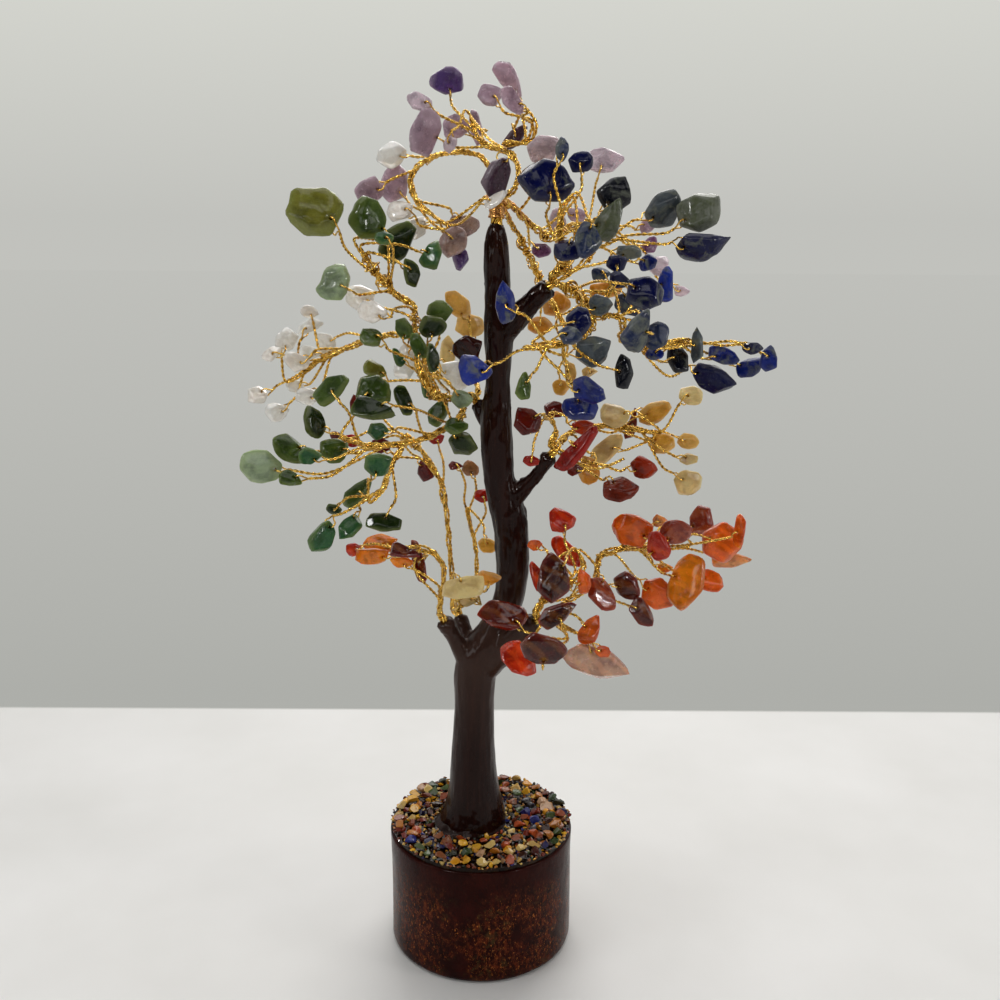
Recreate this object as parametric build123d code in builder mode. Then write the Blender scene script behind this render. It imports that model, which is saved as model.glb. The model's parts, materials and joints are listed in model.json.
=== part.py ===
from build123d import *
import math
import os

import numpy as np

# Driving sizes, in millimetres
base_diameter = 52.0
base_height = 34.0
tree_rise = 206.0
crown_half_depth = 60.0

# Base block
base_edge_round = 0.5
socket_depth = 16.0
socket_clearance = 0.15
foot_plug_diameter = 11.0

# Resin bed and gravel
bed_thickness = 1.2
bed_inset = 0.2
bed_seat_gap = 0.05
grain_size = 3.6
grain_height = 1.9
grain_gap = 0.25
grain_seat_gap = 0.05

# Collar round the trunk's foot
collar_width = 3.0
collar_height = 2.2
collar_clearance = 0.1
collar_edge = 0.6

# Wires: a twisted pair, the bundle inside the trunk, and the winding at the top
pair_width = 0.8
wire_sides = 6
core_width = 3.2
side_core_width = 2.4
core_clearance = 0.1
core_stick_out = 2.0
top_stick_out = 3.8
wire_gap = 0.2
bead_gap = 0.3
winding_wire = 0.5
winding_pitch = 1.0
winding_turns = 3
winding_sides = 8
winding_clearance = 0.12

# Stone chips
least_chip_length = 4.2
least_chip_width = 3.2
hole_clearance = 0.15
hole_wall = 0.75
eye_clearance = 0.15
neck_length = 1.5
chip_gap = 0.35
twig_length = 13.0
attach_step = 1.6
depth_step = 1.8
depth_scatter = 5.0
chip_thickness_share = 0.52
chip_chamfer_share = 0.26
bow_share = 0.10
sharpest_turn = 140
stem_packing_share = 0.62
bead_share = 0.62
lane_pitch = 1.65

# The photograph's camera, in shares of the tree's rise above the base, and its pixels
camera_back_share = 1.379
camera_up_share = 0.820
camera_aside_share = 0.024
camera_tilt = 14.4
camera_roll = 0.3
focal_px = 1100
centre_px = 500

# Pixel rows of the trunk's outline: down, left edge, right edge
trunk_outline_px = [
    (804, 446, 502), (771, 450, 497), (740, 452, 495), (695, 454, 495), (662, 455, 500), (637, 468, 512),
    (618, 483, 518), (596, 493, 525), (561, 496, 530), (517, 490, 527), (473, 483, 515),
    (444, 480, 514), (415, 481, 512), (385, 484, 511), (327, 483, 514), (300, 484, 511),
    (239, 484, 509), (227, 487, 506),
]
trunk_foot_px = (825, 442, 503)
trunk_tip_px = (221, 492, 501)

# Stubs: rows of across, down, width in pixels and depth as a share of the crown's half depth
stub_px_shares = {
    "right_upper": [(503, 336, 24, 0.0), (526, 308, 23, -0.03), (547, 288, 15, -0.05)],
    "right_middle": [(504, 505, 24, 0.0), (528, 484, 17, -0.03), (550, 456, 12, -0.05)],
    "right_lower": [(481, 668, 34, 0.0), (514, 640, 25, -0.10), (534, 622, 17, -0.16)],
    "left_lower": [(474, 668, 30, 0.0), (457, 642, 18, -0.03), (445, 622, 13, -0.05)],
    "left_rear": [(478, 660, 28, 0.0), (468, 638, 16, 0.06), (460, 617, 12, 0.12)],
    "left_middle": [(497, 437, 24, 0.0), (486, 420, 16, 0.04), (478, 404, 12, 0.08)],
}

# Wire stems: the stub they leave, their lane there to the side and to the rear, the number of pairs, and
# their route as across, down in pixels and depth share. Where the first word is another stem, the new one
# leaves that stem's side, at the corner of its route with the number given.
stem_px_shares = {
    "amethyst_top": ("top", (0, -0.7), 6, [(514, 190, -0.05), (519, 170, 0.0), (512, 155, 0.06), (502, 150, 0.10),
                                   (480, 140, 0.14), (469, 115, 0.16), (464, 96, 0.16)]),
    "amethyst_side": ("amethyst_top", 4, 3, [(528, 141, 0.06), (536, 122, 0.02), (524, 104, 0.02)]),
    "pale_left": ("top", (-1, 0.3), 7, [(492, 186, 0.20), (488, 163, 0.24), (465, 152, 0.26), (436, 156, 0.24),
                                 (412, 174, 0.20), (414, 196, 0.16), (436, 216, 0.14), (452, 228, 0.14)]),
    "amethyst_rear": ("top", (1.1, 0.3), 8, [(532, 226, 0.16), (550, 236, 0.34), (585, 222, 0.46), (620, 232, 0.50),
                                    (648, 252, 0.50)]),
    "lapis_crown": ("right_upper", (-1, -0.2), 7, [(565, 266, -0.16), (560, 240, -0.28), (561, 214, -0.30),
                                          (572, 192, -0.26), (590, 184, -0.22)]),
    "lapis_right": ("right_upper", (0, 0.6), 5, [(578, 268, -0.04), (598, 246, 0.02), (628, 234, 0.04),
                                          (664, 230, 0.02)]),
    "lapis_heart": ("right_upper", (1, -0.4), 9, [(576, 292, -0.16), (598, 312, -0.30), (620, 318, -0.36),
                                          (640, 308, -0.38)]),
    "lapis_front": ("lapis_heart", 2, 5, [(586, 330, -0.40), (560, 344, -0.46), (520, 348, -0.44),
                                          (498, 352, -0.40)]),
    "lapis_far": ("lapis_heart", 3, 6, [(622, 340, -0.20), (650, 347, -0.12), (682, 342, -0.06),
                                        (712, 344, -0.04), (738, 354, -0.04)]),
    "green_heart": ("left_middle", (0.0, -1.25), 12, [(460, 398, -0.04), (436, 396, -0.14), (420, 372, -0.18),
                                           (416, 336, -0.16), (414, 300, -0.12)]),
    "green_high": ("green_heart", 5, 7, [(398, 296, -0.10), (382, 280, -0.16), (366, 258, -0.20),
                                         (350, 238, -0.22)]),
    "green_side": ("left_middle", (-1, 0.1), 9, [(462, 414, 0.02), (432, 436, -0.10), (400, 444, -0.20),
                                          (364, 446, -0.26), (330, 438, -0.28)]),
    "green_low": ("green_side", 3, 6, [(392, 464, -0.26), (384, 486, -0.30), (370, 506, -0.32)]),
    "quartz_side": ("green_heart", 4, 9, [(392, 334, 0.06), (362, 342, 0.14), (332, 354, 0.18),
                                          (304, 370, 0.20), (286, 386, 0.20)]),
    "yellow_heart": ("left_middle", (0.8, 0.6), 4, [(476, 382, 0.26), (474, 350, 0.36), (466, 326, 0.38)]),
    "yellow_right": ("top", (0, 1.2), 5, [(524, 246, 0.36), (545, 290, 0.48), (566, 330, 0.46), (570, 360, 0.40)]),
    "yellow_side": ("right_middle", (0, 0.7), 9, [(572, 432, 0.12), (602, 426, 0.16), (640, 430, 0.14),
                                           (670, 436, 0.10)]),
    "jasper_right": ("right_middle", (-1, 0), 4, [(556, 432, -0.02), (552, 418, 0.0), (544, 412, 0.02)]),
    "jasper_low": ("right_middle", (1, -0.4), 4, [(580, 462, -0.14), (604, 464, -0.18), (628, 458, -0.18)]),
    "jasper_left": ("left_rear", (-0.6, 0.5), 9, [(452, 580, 0.30), (448, 530, 0.36), (440, 480, 0.38),
                                        (410, 440, 0.38), (378, 424, 0.36)]),
    "jasper_inner": ("left_rear", (0.8, 0.2), 4, [(474, 590, 0.40), (476, 550, 0.42), (466, 510, 0.42),
                                         (460, 486, 0.40)]),
    "yellow_low": ("left_rear", (0.2, -1.35), 5, [(458, 598, -0.04), (468, 590, -0.14), (484, 574, -0.22)]),
    "carnelian_left": ("left_lower", (0, 0), 6, [(441, 596, -0.12), (443, 566, -0.16), (432, 552, -0.18),
                                            (410, 546, -0.18), (390, 548, -0.18)]),
    "carnelian_low": ("right_lower", (0.2, -0.9), 7, [(546, 612, -0.26), (560, 622, -0.32), (570, 640, -0.34)]),
    "carnelian_heart": ("right_lower", (-0.9, 0.3), 9, [(544, 600, -0.14), (562, 588, -0.18), (584, 566, -0.16),
                                               (576, 546, -0.10)]),
    "carnelian_right": ("right_lower", (0.9, 0.4), 12, [(566, 602, -0.10), (594, 582, -0.06), (600, 556, -0.04),
                                               (630, 548, -0.02), (664, 548, 0.0), (694, 546, 0.0)]),
}

# Stone chips by stem: across, down, long, wide in pixels and the long side's lean in degrees
stone_px = {
    ("amethyst_top", "amethyst"): [
        (448, 81, 35, 27, -5), (421, 102, 26, 20, -10), (426, 131, 46, 31, 85), (459, 127, 28, 27, 0),
        (450, 145, 17, 15, -90), (476, 128, 35, 13, 105), (497, 176, 47, 28, 70)],
    ("amethyst_side", "amethyst"): [
        (491, 95, 24, 22, -15), (510, 81, 40, 22, -55), (513, 102, 34, 18, -50), (515, 137, 32, 15, 55)],
    ("pale_left", "amethyst"): [
        (395, 183, 37, 28, 90), (370, 190, 30, 27, 45), (466, 226, 33, 28, 20), (453, 241, 31, 30, 60),
        (460, 258, 24, 16, -90)],
    ("pale_left", "quartz"): [
        (392, 155, 32, 25, 20), (401, 210, 25, 25, 0), (419, 226, 24, 22, 40), (495, 200, 28, 12, 40)],
    ("amethyst_rear", "amethyst"): [
        (544, 151, 31, 29, 30), (603, 161, 40, 26, 10), (577, 215, 19, 17, 0), (558, 221, 31, 20, 90),
        (541, 250, 20, 14, 0), (650, 224, 24, 16, 30), (650, 245, 20, 15, 60), (658, 264, 24, 24, 0),
        (682, 291, 15, 13, 0)],
    ("lapis_crown", "lapis"): [
        (547, 183, 52, 40, -10), (562, 150, 22, 13, 85), (582, 162, 25, 22, 0), (615, 195, 34, 30, 30),
        (610, 220, 42, 30, 60), (588, 239, 36, 25, 100), (567, 250, 26, 24, 0)],
    ("lapis_right", "lapis"): [
        (662, 210, 39, 33, 70), (698, 212, 43, 35, 25), (702, 246, 50, 35, 15), (648, 262, 20, 16, 45),
        (628, 253, 24, 20, 0)],
    ("lapis_heart", "lapis"): [
        (666, 283, 38, 18, 85), (617, 263, 20, 16, 0), (602, 274, 18, 17, 0), (619, 280, 21, 17, 0),
        (643, 293, 34, 32, 0), (600, 306, 24, 22, 0), (630, 303, 30, 24, 0), (639, 329, 44, 30, 70),
        (656, 335, 29, 24, 70)],
    ("lapis_front", "lapis"): [
        (578, 321, 27, 24, 85), (570, 336, 22, 22, 0), (591, 351, 34, 31, 0), (506, 300, 42, 24, 95),
        (475, 370, 34, 30, 0), (623, 372, 33, 18, 95), (590, 391, 38, 28, -20), (581, 407, 36, 24, 0)],
    ("lapis_front", "green"): [(524, 385, 35, 20, 85)],
    ("lapis_far", "lapis"): [
        (655, 354, 18, 12, 0), (677, 358, 30, 20, 110), (697, 346, 36, 13, 95), (712, 378, 42, 26, -20),
        (725, 357, 34, 18, -15), (752, 348, 19, 14, 0), (749, 367, 30, 18, 20), (769, 358, 24, 18, 90)],
    ("green_high", "green"): [
        (317, 211, 58, 54, -10), (369, 215, 48, 44, 80), (384, 238, 20, 18, 0), (398, 242, 46, 34, 60),
        (335, 283, 47, 32, 75), (411, 272, 30, 19, 100), (433, 254, 32, 26, 80)],
    ("green_heart", "green"): [
        (440, 311, 32, 31, 0), (404, 328, 29, 20, 110), (433, 326, 36, 28, 0), (371, 336, 28, 28, 0),
        (397, 355, 27, 14, 120), (418, 345, 36, 18, 115), (432, 358, 34, 18, 100), (374, 369, 32, 20, -20),
        (427, 383, 46, 16, 95), (439, 412, 40, 24, 55), (462, 400, 26, 24, 0), (456, 427, 28, 24, 0),
        (464, 445, 34, 32, 0)],
    ("green_heart", "quartz"): [
        (362, 298, 26, 24, 0), (375, 312, 28, 26, 0), (406, 360, 35, 20, 90), (454, 376, 42, 34, 0)],
    ("green_side", "green"): [
        (374, 391, 40, 34, -30), (403, 399, 36, 16, 110), (374, 410, 47, 30, -15), (379, 431, 22, 18, 0),
        (332, 389, 44, 26, 45), (314, 422, 36, 24, 115), (335, 450, 30, 27, 0), (311, 456, 24, 22, 0),
        (290, 450, 40, 28, -45), (261, 467, 42, 36, -10), (291, 479, 27, 18, -20)],
    ("green_low", "green"): [
        (378, 464, 28, 26, 0), (359, 492, 40, 26, 45), (334, 509, 17, 9, 0), (383, 522, 40, 20, -5),
        (323, 536, 36, 27, 70), (349, 527, 34, 20, 50)],
    ("quartz_side", "quartz"): [
        (311, 312, 18, 17, 0), (309, 326, 33, 14, 20), (286, 341, 22, 22, 0), (271, 355, 22, 16, 35),
        (326, 343, 26, 18, 130), (311, 353, 24, 15, 0), (297, 362, 24, 22, 0), (295, 385, 19, 16, 0),
        (307, 397, 26, 22, 0), (258, 395, 21, 19, 0), (280, 412, 26, 20, 0)],
    ("yellow_heart", "yellow"): [(458, 305, 30, 24, 130), (470, 326, 28, 26, 0), (448, 350, 27, 16, 90)],
    ("yellow_heart", "jasper"): [(468, 349, 29, 29, 0)],
    ("yellow_right", "yellow"): [
        (558, 305, 29, 28, 0), (540, 325, 24, 20, 0), (605, 291, 34, 16, 0), (561, 387, 17, 17, 0),
        (570, 372, 24, 12, 100), (590, 372, 14, 12, 0)],
    ("yellow_side", "yellow"): [
        (615, 416, 29, 27, 0), (653, 413, 34, 22, 40), (608, 449, 42, 20, 50), (588, 470, 32, 24, 100),
        (664, 443, 26, 24, 0), (688, 441, 21, 16, 0), (688, 459, 17, 13, 0), (689, 482, 30, 26, 0),
        (692, 395, 24, 22, 0)],
    ("yellow_side", "jasper"): [(632, 424, 35, 12, 85)],
    ("jasper_right", "jasper"): [
        (528, 421, 30, 28, 0), (531, 461, 14, 12, 0), (555, 410, 22, 20, 0), (582, 427, 22, 18, 0)],
    ("jasper_low", "jasper"): [
        (578, 449, 70, 20, 45), (575, 470, 14, 12, 0), (620, 489, 36, 28, 10), (644, 468, 28, 24, 0)],
    ("jasper_left", "jasper"): [
        (355, 404, 20, 10, 90), (338, 436, 16, 12, 0), (351, 441, 18, 15, 0), (381, 446, 20, 17, 0),
        (426, 469, 28, 19, 85), (437, 439, 12, 10, 0)],
    ("jasper_inner", "jasper"): [
        (456, 466, 14, 11, 0), (471, 469, 18, 17, 0), (483, 496, 19, 14, 0)],
    ("jasper_inner", "yellow"): [(488, 545, 19, 17, 0)],
    ("yellow_low", "yellow"): [
        (463, 586, 47, 22, 12), (490, 579, 24, 18, 0), (469, 599, 20, 15, 0)],
    ("carnelian_left", "carnelian"): [
        (354, 550, 16, 14, 0), (382, 544, 34, 24, 15), (374, 556, 34, 17, -5), (406, 552, 34, 17, -10),
        (402, 562, 24, 10, 0), (419, 563, 46, 12, 105)],
    ("carnelian_low", "carnelian"): [
        (544, 649, 44, 40, 0), (506, 616, 50, 28, -15), (559, 614, 40, 22, 30), (520, 659, 42, 32, -50),
        (596, 662, 68, 34, -25), (590, 630, 32, 22, 65), (603, 651, 12, 10, 0)],
    ("carnelian_heart", "carnelian"): [
        (564, 522, 30, 26, 0), (536, 545, 13, 11, 0), (566, 553, 40, 18, -50), (554, 576, 46, 32, 100),
        (583, 581, 25, 15, 90), (538, 576, 38, 16, 115), (602, 593, 36, 26, -55), (626, 586, 28, 24, -40),
        (642, 612, 30, 22, -50)],
    ("carnelian_right", "carnelian"): [
        (634, 530, 39, 33, -10), (661, 522, 16, 14, 0), (675, 532, 32, 28, 0), (701, 522, 30, 25, 85),
        (722, 540, 42, 38, 45), (739, 532, 36, 10, 85), (730, 559, 40, 20, 10), (685, 580, 58, 34, 80),
        (657, 593, 32, 32, 0), (711, 581, 26, 22, 0), (659, 547, 30, 26, -50), (666, 568, 16, 12, 0)],
}

# Stems that bend at their root, with the bend's axis and its least and greatest turn in degrees
bends = {
    "amethyst_top": ((0, 1, 0), -12, 12),
    "lapis_right": ((0, 1, 0), -8, 18),
    "lapis_far": ((0, 1, 0), -10, 20),
    "green_high": ((0, 1, 0), -6, 8),
    "green_side": ((0, 1, 0), -12, 10),
    "quartz_side": ((0, 1, 0), -12, 10),
    "yellow_side": ((0, 1, 0), -8, 12),
    "carnelian_left": ((0, 1, 0), -15, 15),
    "carnelian_low": ((0, 1, 0), -8, 16),
    "carnelian_right": ((0, 1, 0), -12, 14),
}
# Stems that ride on a bending stem
riders = {"amethyst_side": "amethyst_top", "green_low": "green_side"}

# Outlines of the chips, as shares of half the length and half the width
chip_outline_shares = [
    [(1.0, 0.05), (0.35, 0.85), (-0.65, 0.9), (-1.0, -0.2), (-0.3, -0.98), (0.65, -0.7)],
    [(1.0, 0.3), (0.15, 0.98), (-0.8, 0.75), (-0.95, -0.4), (-0.1, -0.96), (0.85, -0.55)],
    [(1.0, -0.1), (0.5, 0.7), (-0.45, 0.98), (-1.0, 0.3), (-0.65, -0.85), (0.4, -0.85)],
    [(0.95, 0.5), (0.1, 0.88), (-0.85, 0.7), (-1.0, -0.3), (-0.35, -0.98), (0.6, -0.9)],
    [(1.0, 0.0), (0.3, 0.62), (-0.6, 0.98), (-1.0, 0.35), (-0.85, -0.7), (0.0, -0.8)],
]
grain_outline_shares = [(1.0, 0.1), (0.3, 0.95), (-0.8, 0.7), (-0.95, -0.5), (0.2, -1.0)]


# Sight lines: the camera stands before the tree and looks along +Y, a little down
def sight(across_px, down_px, depth_share):
    depth = depth_share * crown_half_depth
    turn = math.radians(camera_roll)
    tilt = math.radians(camera_tilt)
    right = (math.cos(turn) * (across_px - centre_px) + math.sin(turn) * (down_px - centre_px)) / focal_px
    up = (math.sin(turn) * (across_px - centre_px) - math.cos(turn) * (down_px - centre_px)) / focal_px
    ray = Vector(right, math.cos(tilt) + math.sin(tilt) * up, math.cos(tilt) * up - math.sin(tilt))
    eye = Vector(camera_aside_share, -camera_back_share, camera_up_share) * tree_rise
    eye += Vector(0, 0, base_height)
    reach = (depth - eye.Y) / ray.Y
    return eye + ray * reach, reach / focal_px, ray.normalized()


def spread(seed, low, high):
    """A steady value between low and high that differs from seed to seed."""
    return low + (high - low) * ((seed * 0.6180339887) % 1)


# Free space: every placed wire and stone is a row of rounded rods, kept for the rest pose and both limits
class Space:
    def __init__(self):
        self.owner = []
        self.starts = [[], [], []]
        self.ends = [[], [], []]
        self.radii = []

    def add(self, owner, rods):
        for start, end, radius in rods:
            self.owner.append(owner)
            self.radii.append(radius)
            for pose in range(3):
                self.starts[pose].append(tuple(posed(start, owner, pose)))
                self.ends[pose].append(tuple(posed(end, owner, pose)))
        self.arrays = [(np.array(self.starts[pose]), np.array(self.ends[pose])) for pose in range(3)]
        self.radius_array = np.array(self.radii)
        self.owner_array = np.array(self.owner)

    def is_clear(self, owner, rods, gap):
        same = self.owner_array == owner
        for mine in range(3 if owner != "tree" else 1):
            for other in range(3):
                for start, end, radius in rods:
                    apart = rod_distance(posed(start, owner, mine), posed(end, owner, mine), *self.arrays[other])
                    need = radius + self.radius_array + gap
                    near = apart < need
                    if mine or other:
                        near = near & ~same
                    if np.any(near):
                        return False
        return True


def rod_distance(start, end, starts, ends):
    """Least distance from one straight rod's axis to each of many."""
    first = np.array(tuple(start))
    along = np.array(tuple(end)) - first
    others = ends - starts
    between = first - starts
    a = along @ along
    e = np.maximum(np.einsum("ij,ij->i", others, others), 1e-9)
    f = np.einsum("ij,ij->i", others, between)
    c = between @ along
    b = others @ along
    wide = np.maximum(a * e - b * b, 1e-9)
    s = np.clip((b * f - c * e) / wide, 0, 1)
    t = np.clip((b * s + f) / e, 0, 1)
    s = np.clip((b * t - c) / max(a, 1e-9), 0, 1)
    gap = between + s[:, None] * along - t[:, None] * others
    return np.sqrt(np.einsum("ij,ij->i", gap, gap))


def rods_meet(rods, others, gap):
    """Whether any of some rods comes nearer to any of the others than the gap."""
    starts = np.array([tuple(start) for start, end, radius in others])
    ends = np.array([tuple(end) for start, end, radius in others])
    radii = np.array([radius for start, end, radius in others])
    for start, end, radius in rods:
        if np.any(rod_distance(start, end, starts, ends) < radius + radii + gap):
            return True
    return False


space = Space()
pivots = {}


def posed(point, owner, pose):
    """The point where it stands at rest, or with its branch at its least or greatest turn."""
    if owner == "tree" or pose == 0:
        return point
    axis, low, high = bends[owner]
    pivot = pivots[owner]
    turn = low if pose == 1 else high
    return pivot + (point - pivot).rotate(Axis((0, 0, 0), axis), turn)


def wire(points, width):
    """A tube of flat sides along straight runs, with each corner cut on its mitre plane."""
    runs = [(b - a).normalized() for a, b in zip(points, points[1:])]
    start = Plane(origin=points[0], z_dir=runs[0])
    corners = [math.radians(360 / wire_sides * side) for side in range(wire_sides)]
    rings = [[start.from_local_coords((width / 2 * math.cos(corner), width / 2 * math.sin(corner), 0))
              for corner in corners]]
    for place, run in enumerate(runs):
        mitre = run + runs[place + 1] if place + 1 < len(runs) else run
        rings.append([corner + run * ((points[place + 1] - corner).dot(mitre) / run.dot(mitre))
                      for corner in rings[-1]])
    faces = [Face(Wire.make_polygon(rings[0])), Face(Wire.make_polygon(rings[-1]))]
    for low, high in zip(rings, rings[1:]):
        for side in range(wire_sides):
            after = (side + 1) % wire_sides
            faces.append(Face(Wire.make_polygon([low[side], low[after], high[after], high[side]])))
    return Solid(Shell(faces))


def rods_along(points, width):
    return [(a, b, width / 2) for a, b in zip(points, points[1:])]


os.makedirs("parts", exist_ok=True)


def save(piece, label):
    piece.label = label
    export_step(piece, f"parts/{label}.step")


# Base block with the socket for the trunk's foot
foot_centre, foot_radius = sight(sum(trunk_foot_px[1:]) / 2, trunk_foot_px[0], 0)[:2]
foot_radius *= (trunk_foot_px[2] - trunk_foot_px[1]) / 2
foot_x = foot_centre.X
with BuildPart() as base_block:
    with BuildSketch():
        Circle(base_diameter / 2)
    extrude(amount=base_height)
    fillet(base_block.edges().filter_by(GeomType.CIRCLE), base_edge_round)
    with BuildSketch(Plane.XY.offset(base_height)):
        with Locations((foot_x, 0)):
            Circle(foot_plug_diameter / 2 + socket_clearance)
    extrude(amount=-socket_depth, mode=Mode.SUBTRACT)
save(base_block.part, "base_block")

# Set resin on the base's top, round the trunk's foot
bed_bottom = base_height + bed_seat_gap
bed_top = bed_bottom + bed_thickness
bed_radius = base_diameter / 2 - base_edge_round - bed_inset
with BuildPart() as resin_bed:
    with BuildSketch(Plane.XY.offset(bed_bottom)):
        Circle(bed_radius)
        with Locations((foot_x, 0)):
            Circle(foot_radius + collar_clearance, mode=Mode.SUBTRACT)
    extrude(amount=bed_thickness)
save(resin_bed.part, "resin_bed")

# Collar of dark resin round the trunk's foot
collar_radius = foot_radius + collar_width
with BuildPart() as foot_collar:
    with BuildSketch(Plane.XY.offset(bed_top + grain_seat_gap)):
        with Locations((foot_x, 0)):
            Circle(collar_radius)
            Circle(foot_radius + collar_clearance, mode=Mode.SUBTRACT)
    extrude(amount=collar_height)
    chamfer(foot_collar.edges().group_by(Axis.Z)[-1].sort_by(SortBy.LENGTH)[-1], collar_edge)
save(foot_collar.part, "foot_collar")


# Gravel: crushed stone in rings on the resin, sorted by colour
def grain(centre, seed):
    """One crushed grain, flat below and cut at a slant above."""
    radius = grain_size / 2 * spread(seed, 0.8, 1.0)
    height = grain_height * spread(seed + 3, 0.7, 1.3)
    turn = math.radians(spread(seed + 5, 0, 360))
    with BuildPart() as chip:
        with BuildSketch(Plane.XY.offset(bed_top + grain_seat_gap)):
            with Locations(Location(centre, math.degrees(turn))):
                Polygon(*[(radius * x, radius * y) for x, y in grain_outline_shares], align=None)
        extrude(amount=height)
        slant = Vector(math.cos(turn), math.sin(turn), spread(seed + 7, 1.2, 2.4))
        top = Vector(*centre, bed_top + grain_seat_gap + height * 0.8)
        split(bisect_by=Plane(origin=top, z_dir=slant), keep=Keep.BOTTOM)
    return chip.part


grain_colours = ["ochre", "cream", "orange", "maroon", "navy", "green", "clear"]
grains = {colour: [] for colour in grain_colours}
ring_pitch = grain_size + grain_gap
seed = 0
ring_count = int((bed_radius - grain_size / 2) / ring_pitch)
for ring in range(1, ring_count + 1):
    ring_radius = bed_radius - grain_size / 2 - (ring_count - ring) * ring_pitch
    count = int(2 * math.pi * ring_radius / ring_pitch)
    for place in range(count):
        seed += 1
        angle = 2 * math.pi * (place + spread(ring, 0, 1)) / count
        centre = Vector(ring_radius * math.cos(angle), ring_radius * math.sin(angle))
        if (centre - Vector(foot_x, 0)).length < collar_radius + grain_size / 2 + grain_gap:
            continue
        colour = grain_colours[int(spread(seed * 5, 0, len(grain_colours)))]
        grains[colour].append(grain((centre.X, centre.Y), seed))
for colour, pieces in grains.items():
    with BuildPart() as gravel:
        add(pieces)
    save(gravel.part, f"gravel_{colour}")


# Trunk, moulded round the bundle of wires
def across(row_px):
    """Centre and half width of one row of the trunk's outline."""
    down, left, right = row_px
    centre, scale, ray = sight((left + right) / 2, down, 0)
    return centre, (right - left) * scale / 2


core_routes = []
tips = {}
for name, rows in stub_px_shares.items():
    route = [sight(x, y, depth)[0] for x, y, width, depth in rows]
    aim = (route[-1] - route[-2]).normalized()
    route.append(route[-1] + aim * core_stick_out)
    core_routes.append(route)
    tips[name] = (route[-1], aim)
main_route = [Vector(foot_x, 0, base_height - socket_depth / 2), Vector(foot_x, 0, base_height)]
main_route += [across(trunk_outline_px[row])[0] for row in (2, 4, 5, 7, 9, 11, 14, 16)]
main_route.append(across(trunk_tip_px)[0] + Vector(0, 0, top_stick_out))
tips["top"] = (main_route[-1], Vector(0, 0, 1))
core_tubes = [(main_route, core_width)] + [(route, side_core_width) for route in core_routes]

with BuildPart() as trunk:
    with BuildSketch(Plane.XY.offset(base_height - socket_depth + socket_clearance)):
        with Locations((foot_x, 0)):
            Circle(foot_plug_diameter / 2)
    extrude(amount=socket_depth - socket_clearance)
    with BuildSketch(Plane.XY.offset(base_height)):
        with Locations((foot_x, 0)):
            Circle(foot_radius)
    for row_px in trunk_outline_px + [trunk_tip_px]:
        centre, half = across(row_px)
        with BuildSketch(Plane.XY.offset(centre.Z)):
            with Locations((centre.X, 0)):
                Circle(half)
    loft()
    for rows in stub_px_shares.values():
        route = [sight(x, y, depth)[0] for x, y, width, depth in rows]
        for place, (x, y, width, depth) in enumerate(rows):
            aim = route[min(place + 1, 2)] - route[max(place - 1, 0)]
            with BuildSketch(Plane(origin=route[place], z_dir=aim)):
                Circle(width * sight(x, y, depth)[1] / 2)
        loft()
    for route, width in core_tubes:
        add(wire(route, width + 2 * core_clearance), mode=Mode.SUBTRACT)
save(trunk.part, "trunk")

# The bundle inside the trunk, with its ends out of the stubs
with BuildPart() as wire_core:
    for route, width in core_tubes:
        add(wire(route, width))
save(wire_core.part, "wire_core")

# Winding round the bundle's top end
winding_radius = core_width / 2 + winding_clearance + winding_wire / 2
winding_foot = tips["top"][0] - Vector(0, 0, winding_turns * winding_pitch + winding_wire / 2)
winding_route = []
for step in range(winding_turns * winding_sides + 1):
    angle = 2 * math.pi * step / winding_sides
    climb = winding_pitch * step / winding_sides
    winding_route.append(winding_foot + Vector(winding_radius * math.cos(angle),
                                               winding_radius * math.sin(angle), climb))
save(wire(winding_route, winding_wire), "top_winding")
print("least gap between the winding's turns", round(winding_pitch - winding_wire, 2))


# Stems: bundles of pairs, each with a bead at its root where it bends by hand
def stem_width(pairs):
    return pair_width * max(1.2, stem_packing_share * math.sqrt(pairs))


stems = {}
for name, (carrier, place, pairs, points) in stem_px_shares.items():
    width = stem_width(pairs)
    owner = riders.get(name, name)
    if owner not in bends:
        owner = "tree"
    route = [sight(*point)[0] for point in points]
    root_gap = bead_gap + bead_share * width if name in bends else wire_gap + width / 2
    if carrier in tips:
        tip, aim = tips[carrier]
        if name not in bends:
            slant = math.radians(min(aim.get_angle(route[0] - tip), 90))
            root_gap = wire_gap + width / 2 * math.sin(slant)
        beside = Vector(0, 1, 0).cross(aim).normalized()
        start = tip + aim * root_gap + (beside * place[0] + Vector(0, 1, 0) * place[1]) * lane_pitch
    else:
        parent = stems[carrier]["route"]
        ahead = min(place, len(parent) - 2)
        along = (parent[ahead + 1] - parent[ahead]).normalized()
        side = route[0] - parent[place]
        side = (side - along * side.dot(along)).normalized()
        start = parent[place] + side * (stems[carrier]["width"] / 2 + root_gap)
    route.insert(0, start)
    stems[name] = {"route": route, "width": width, "owner": owner, "twigs": [], "stones": {}}
    if name in bends:
        pivots[name] = start
trunk_rows = [across(row_px) for row_px in trunk_outline_px]
for (low, low_radius), (high, high_radius) in zip(trunk_rows, trunk_rows[1:]):
    space.add("tree", [(low, high, max(low_radius, high_radius))])
for rows in stub_px_shares.values():
    places = [sight(x, y, depth)[:2] for x, y, width, depth in rows]
    for (low, scale), (high, high_scale), row in zip(places, places[1:], rows[1:]):
        radius = row[2] * high_scale / 2
        space.add("tree", [(low, high - (high - low).normalized() * radius, radius)])
for route, width in core_tubes:
    aim = (route[-1] - route[-2]).normalized()
    space.add("tree", rods_along([route[-2], route[-1] - aim * width / 2], width))
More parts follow.
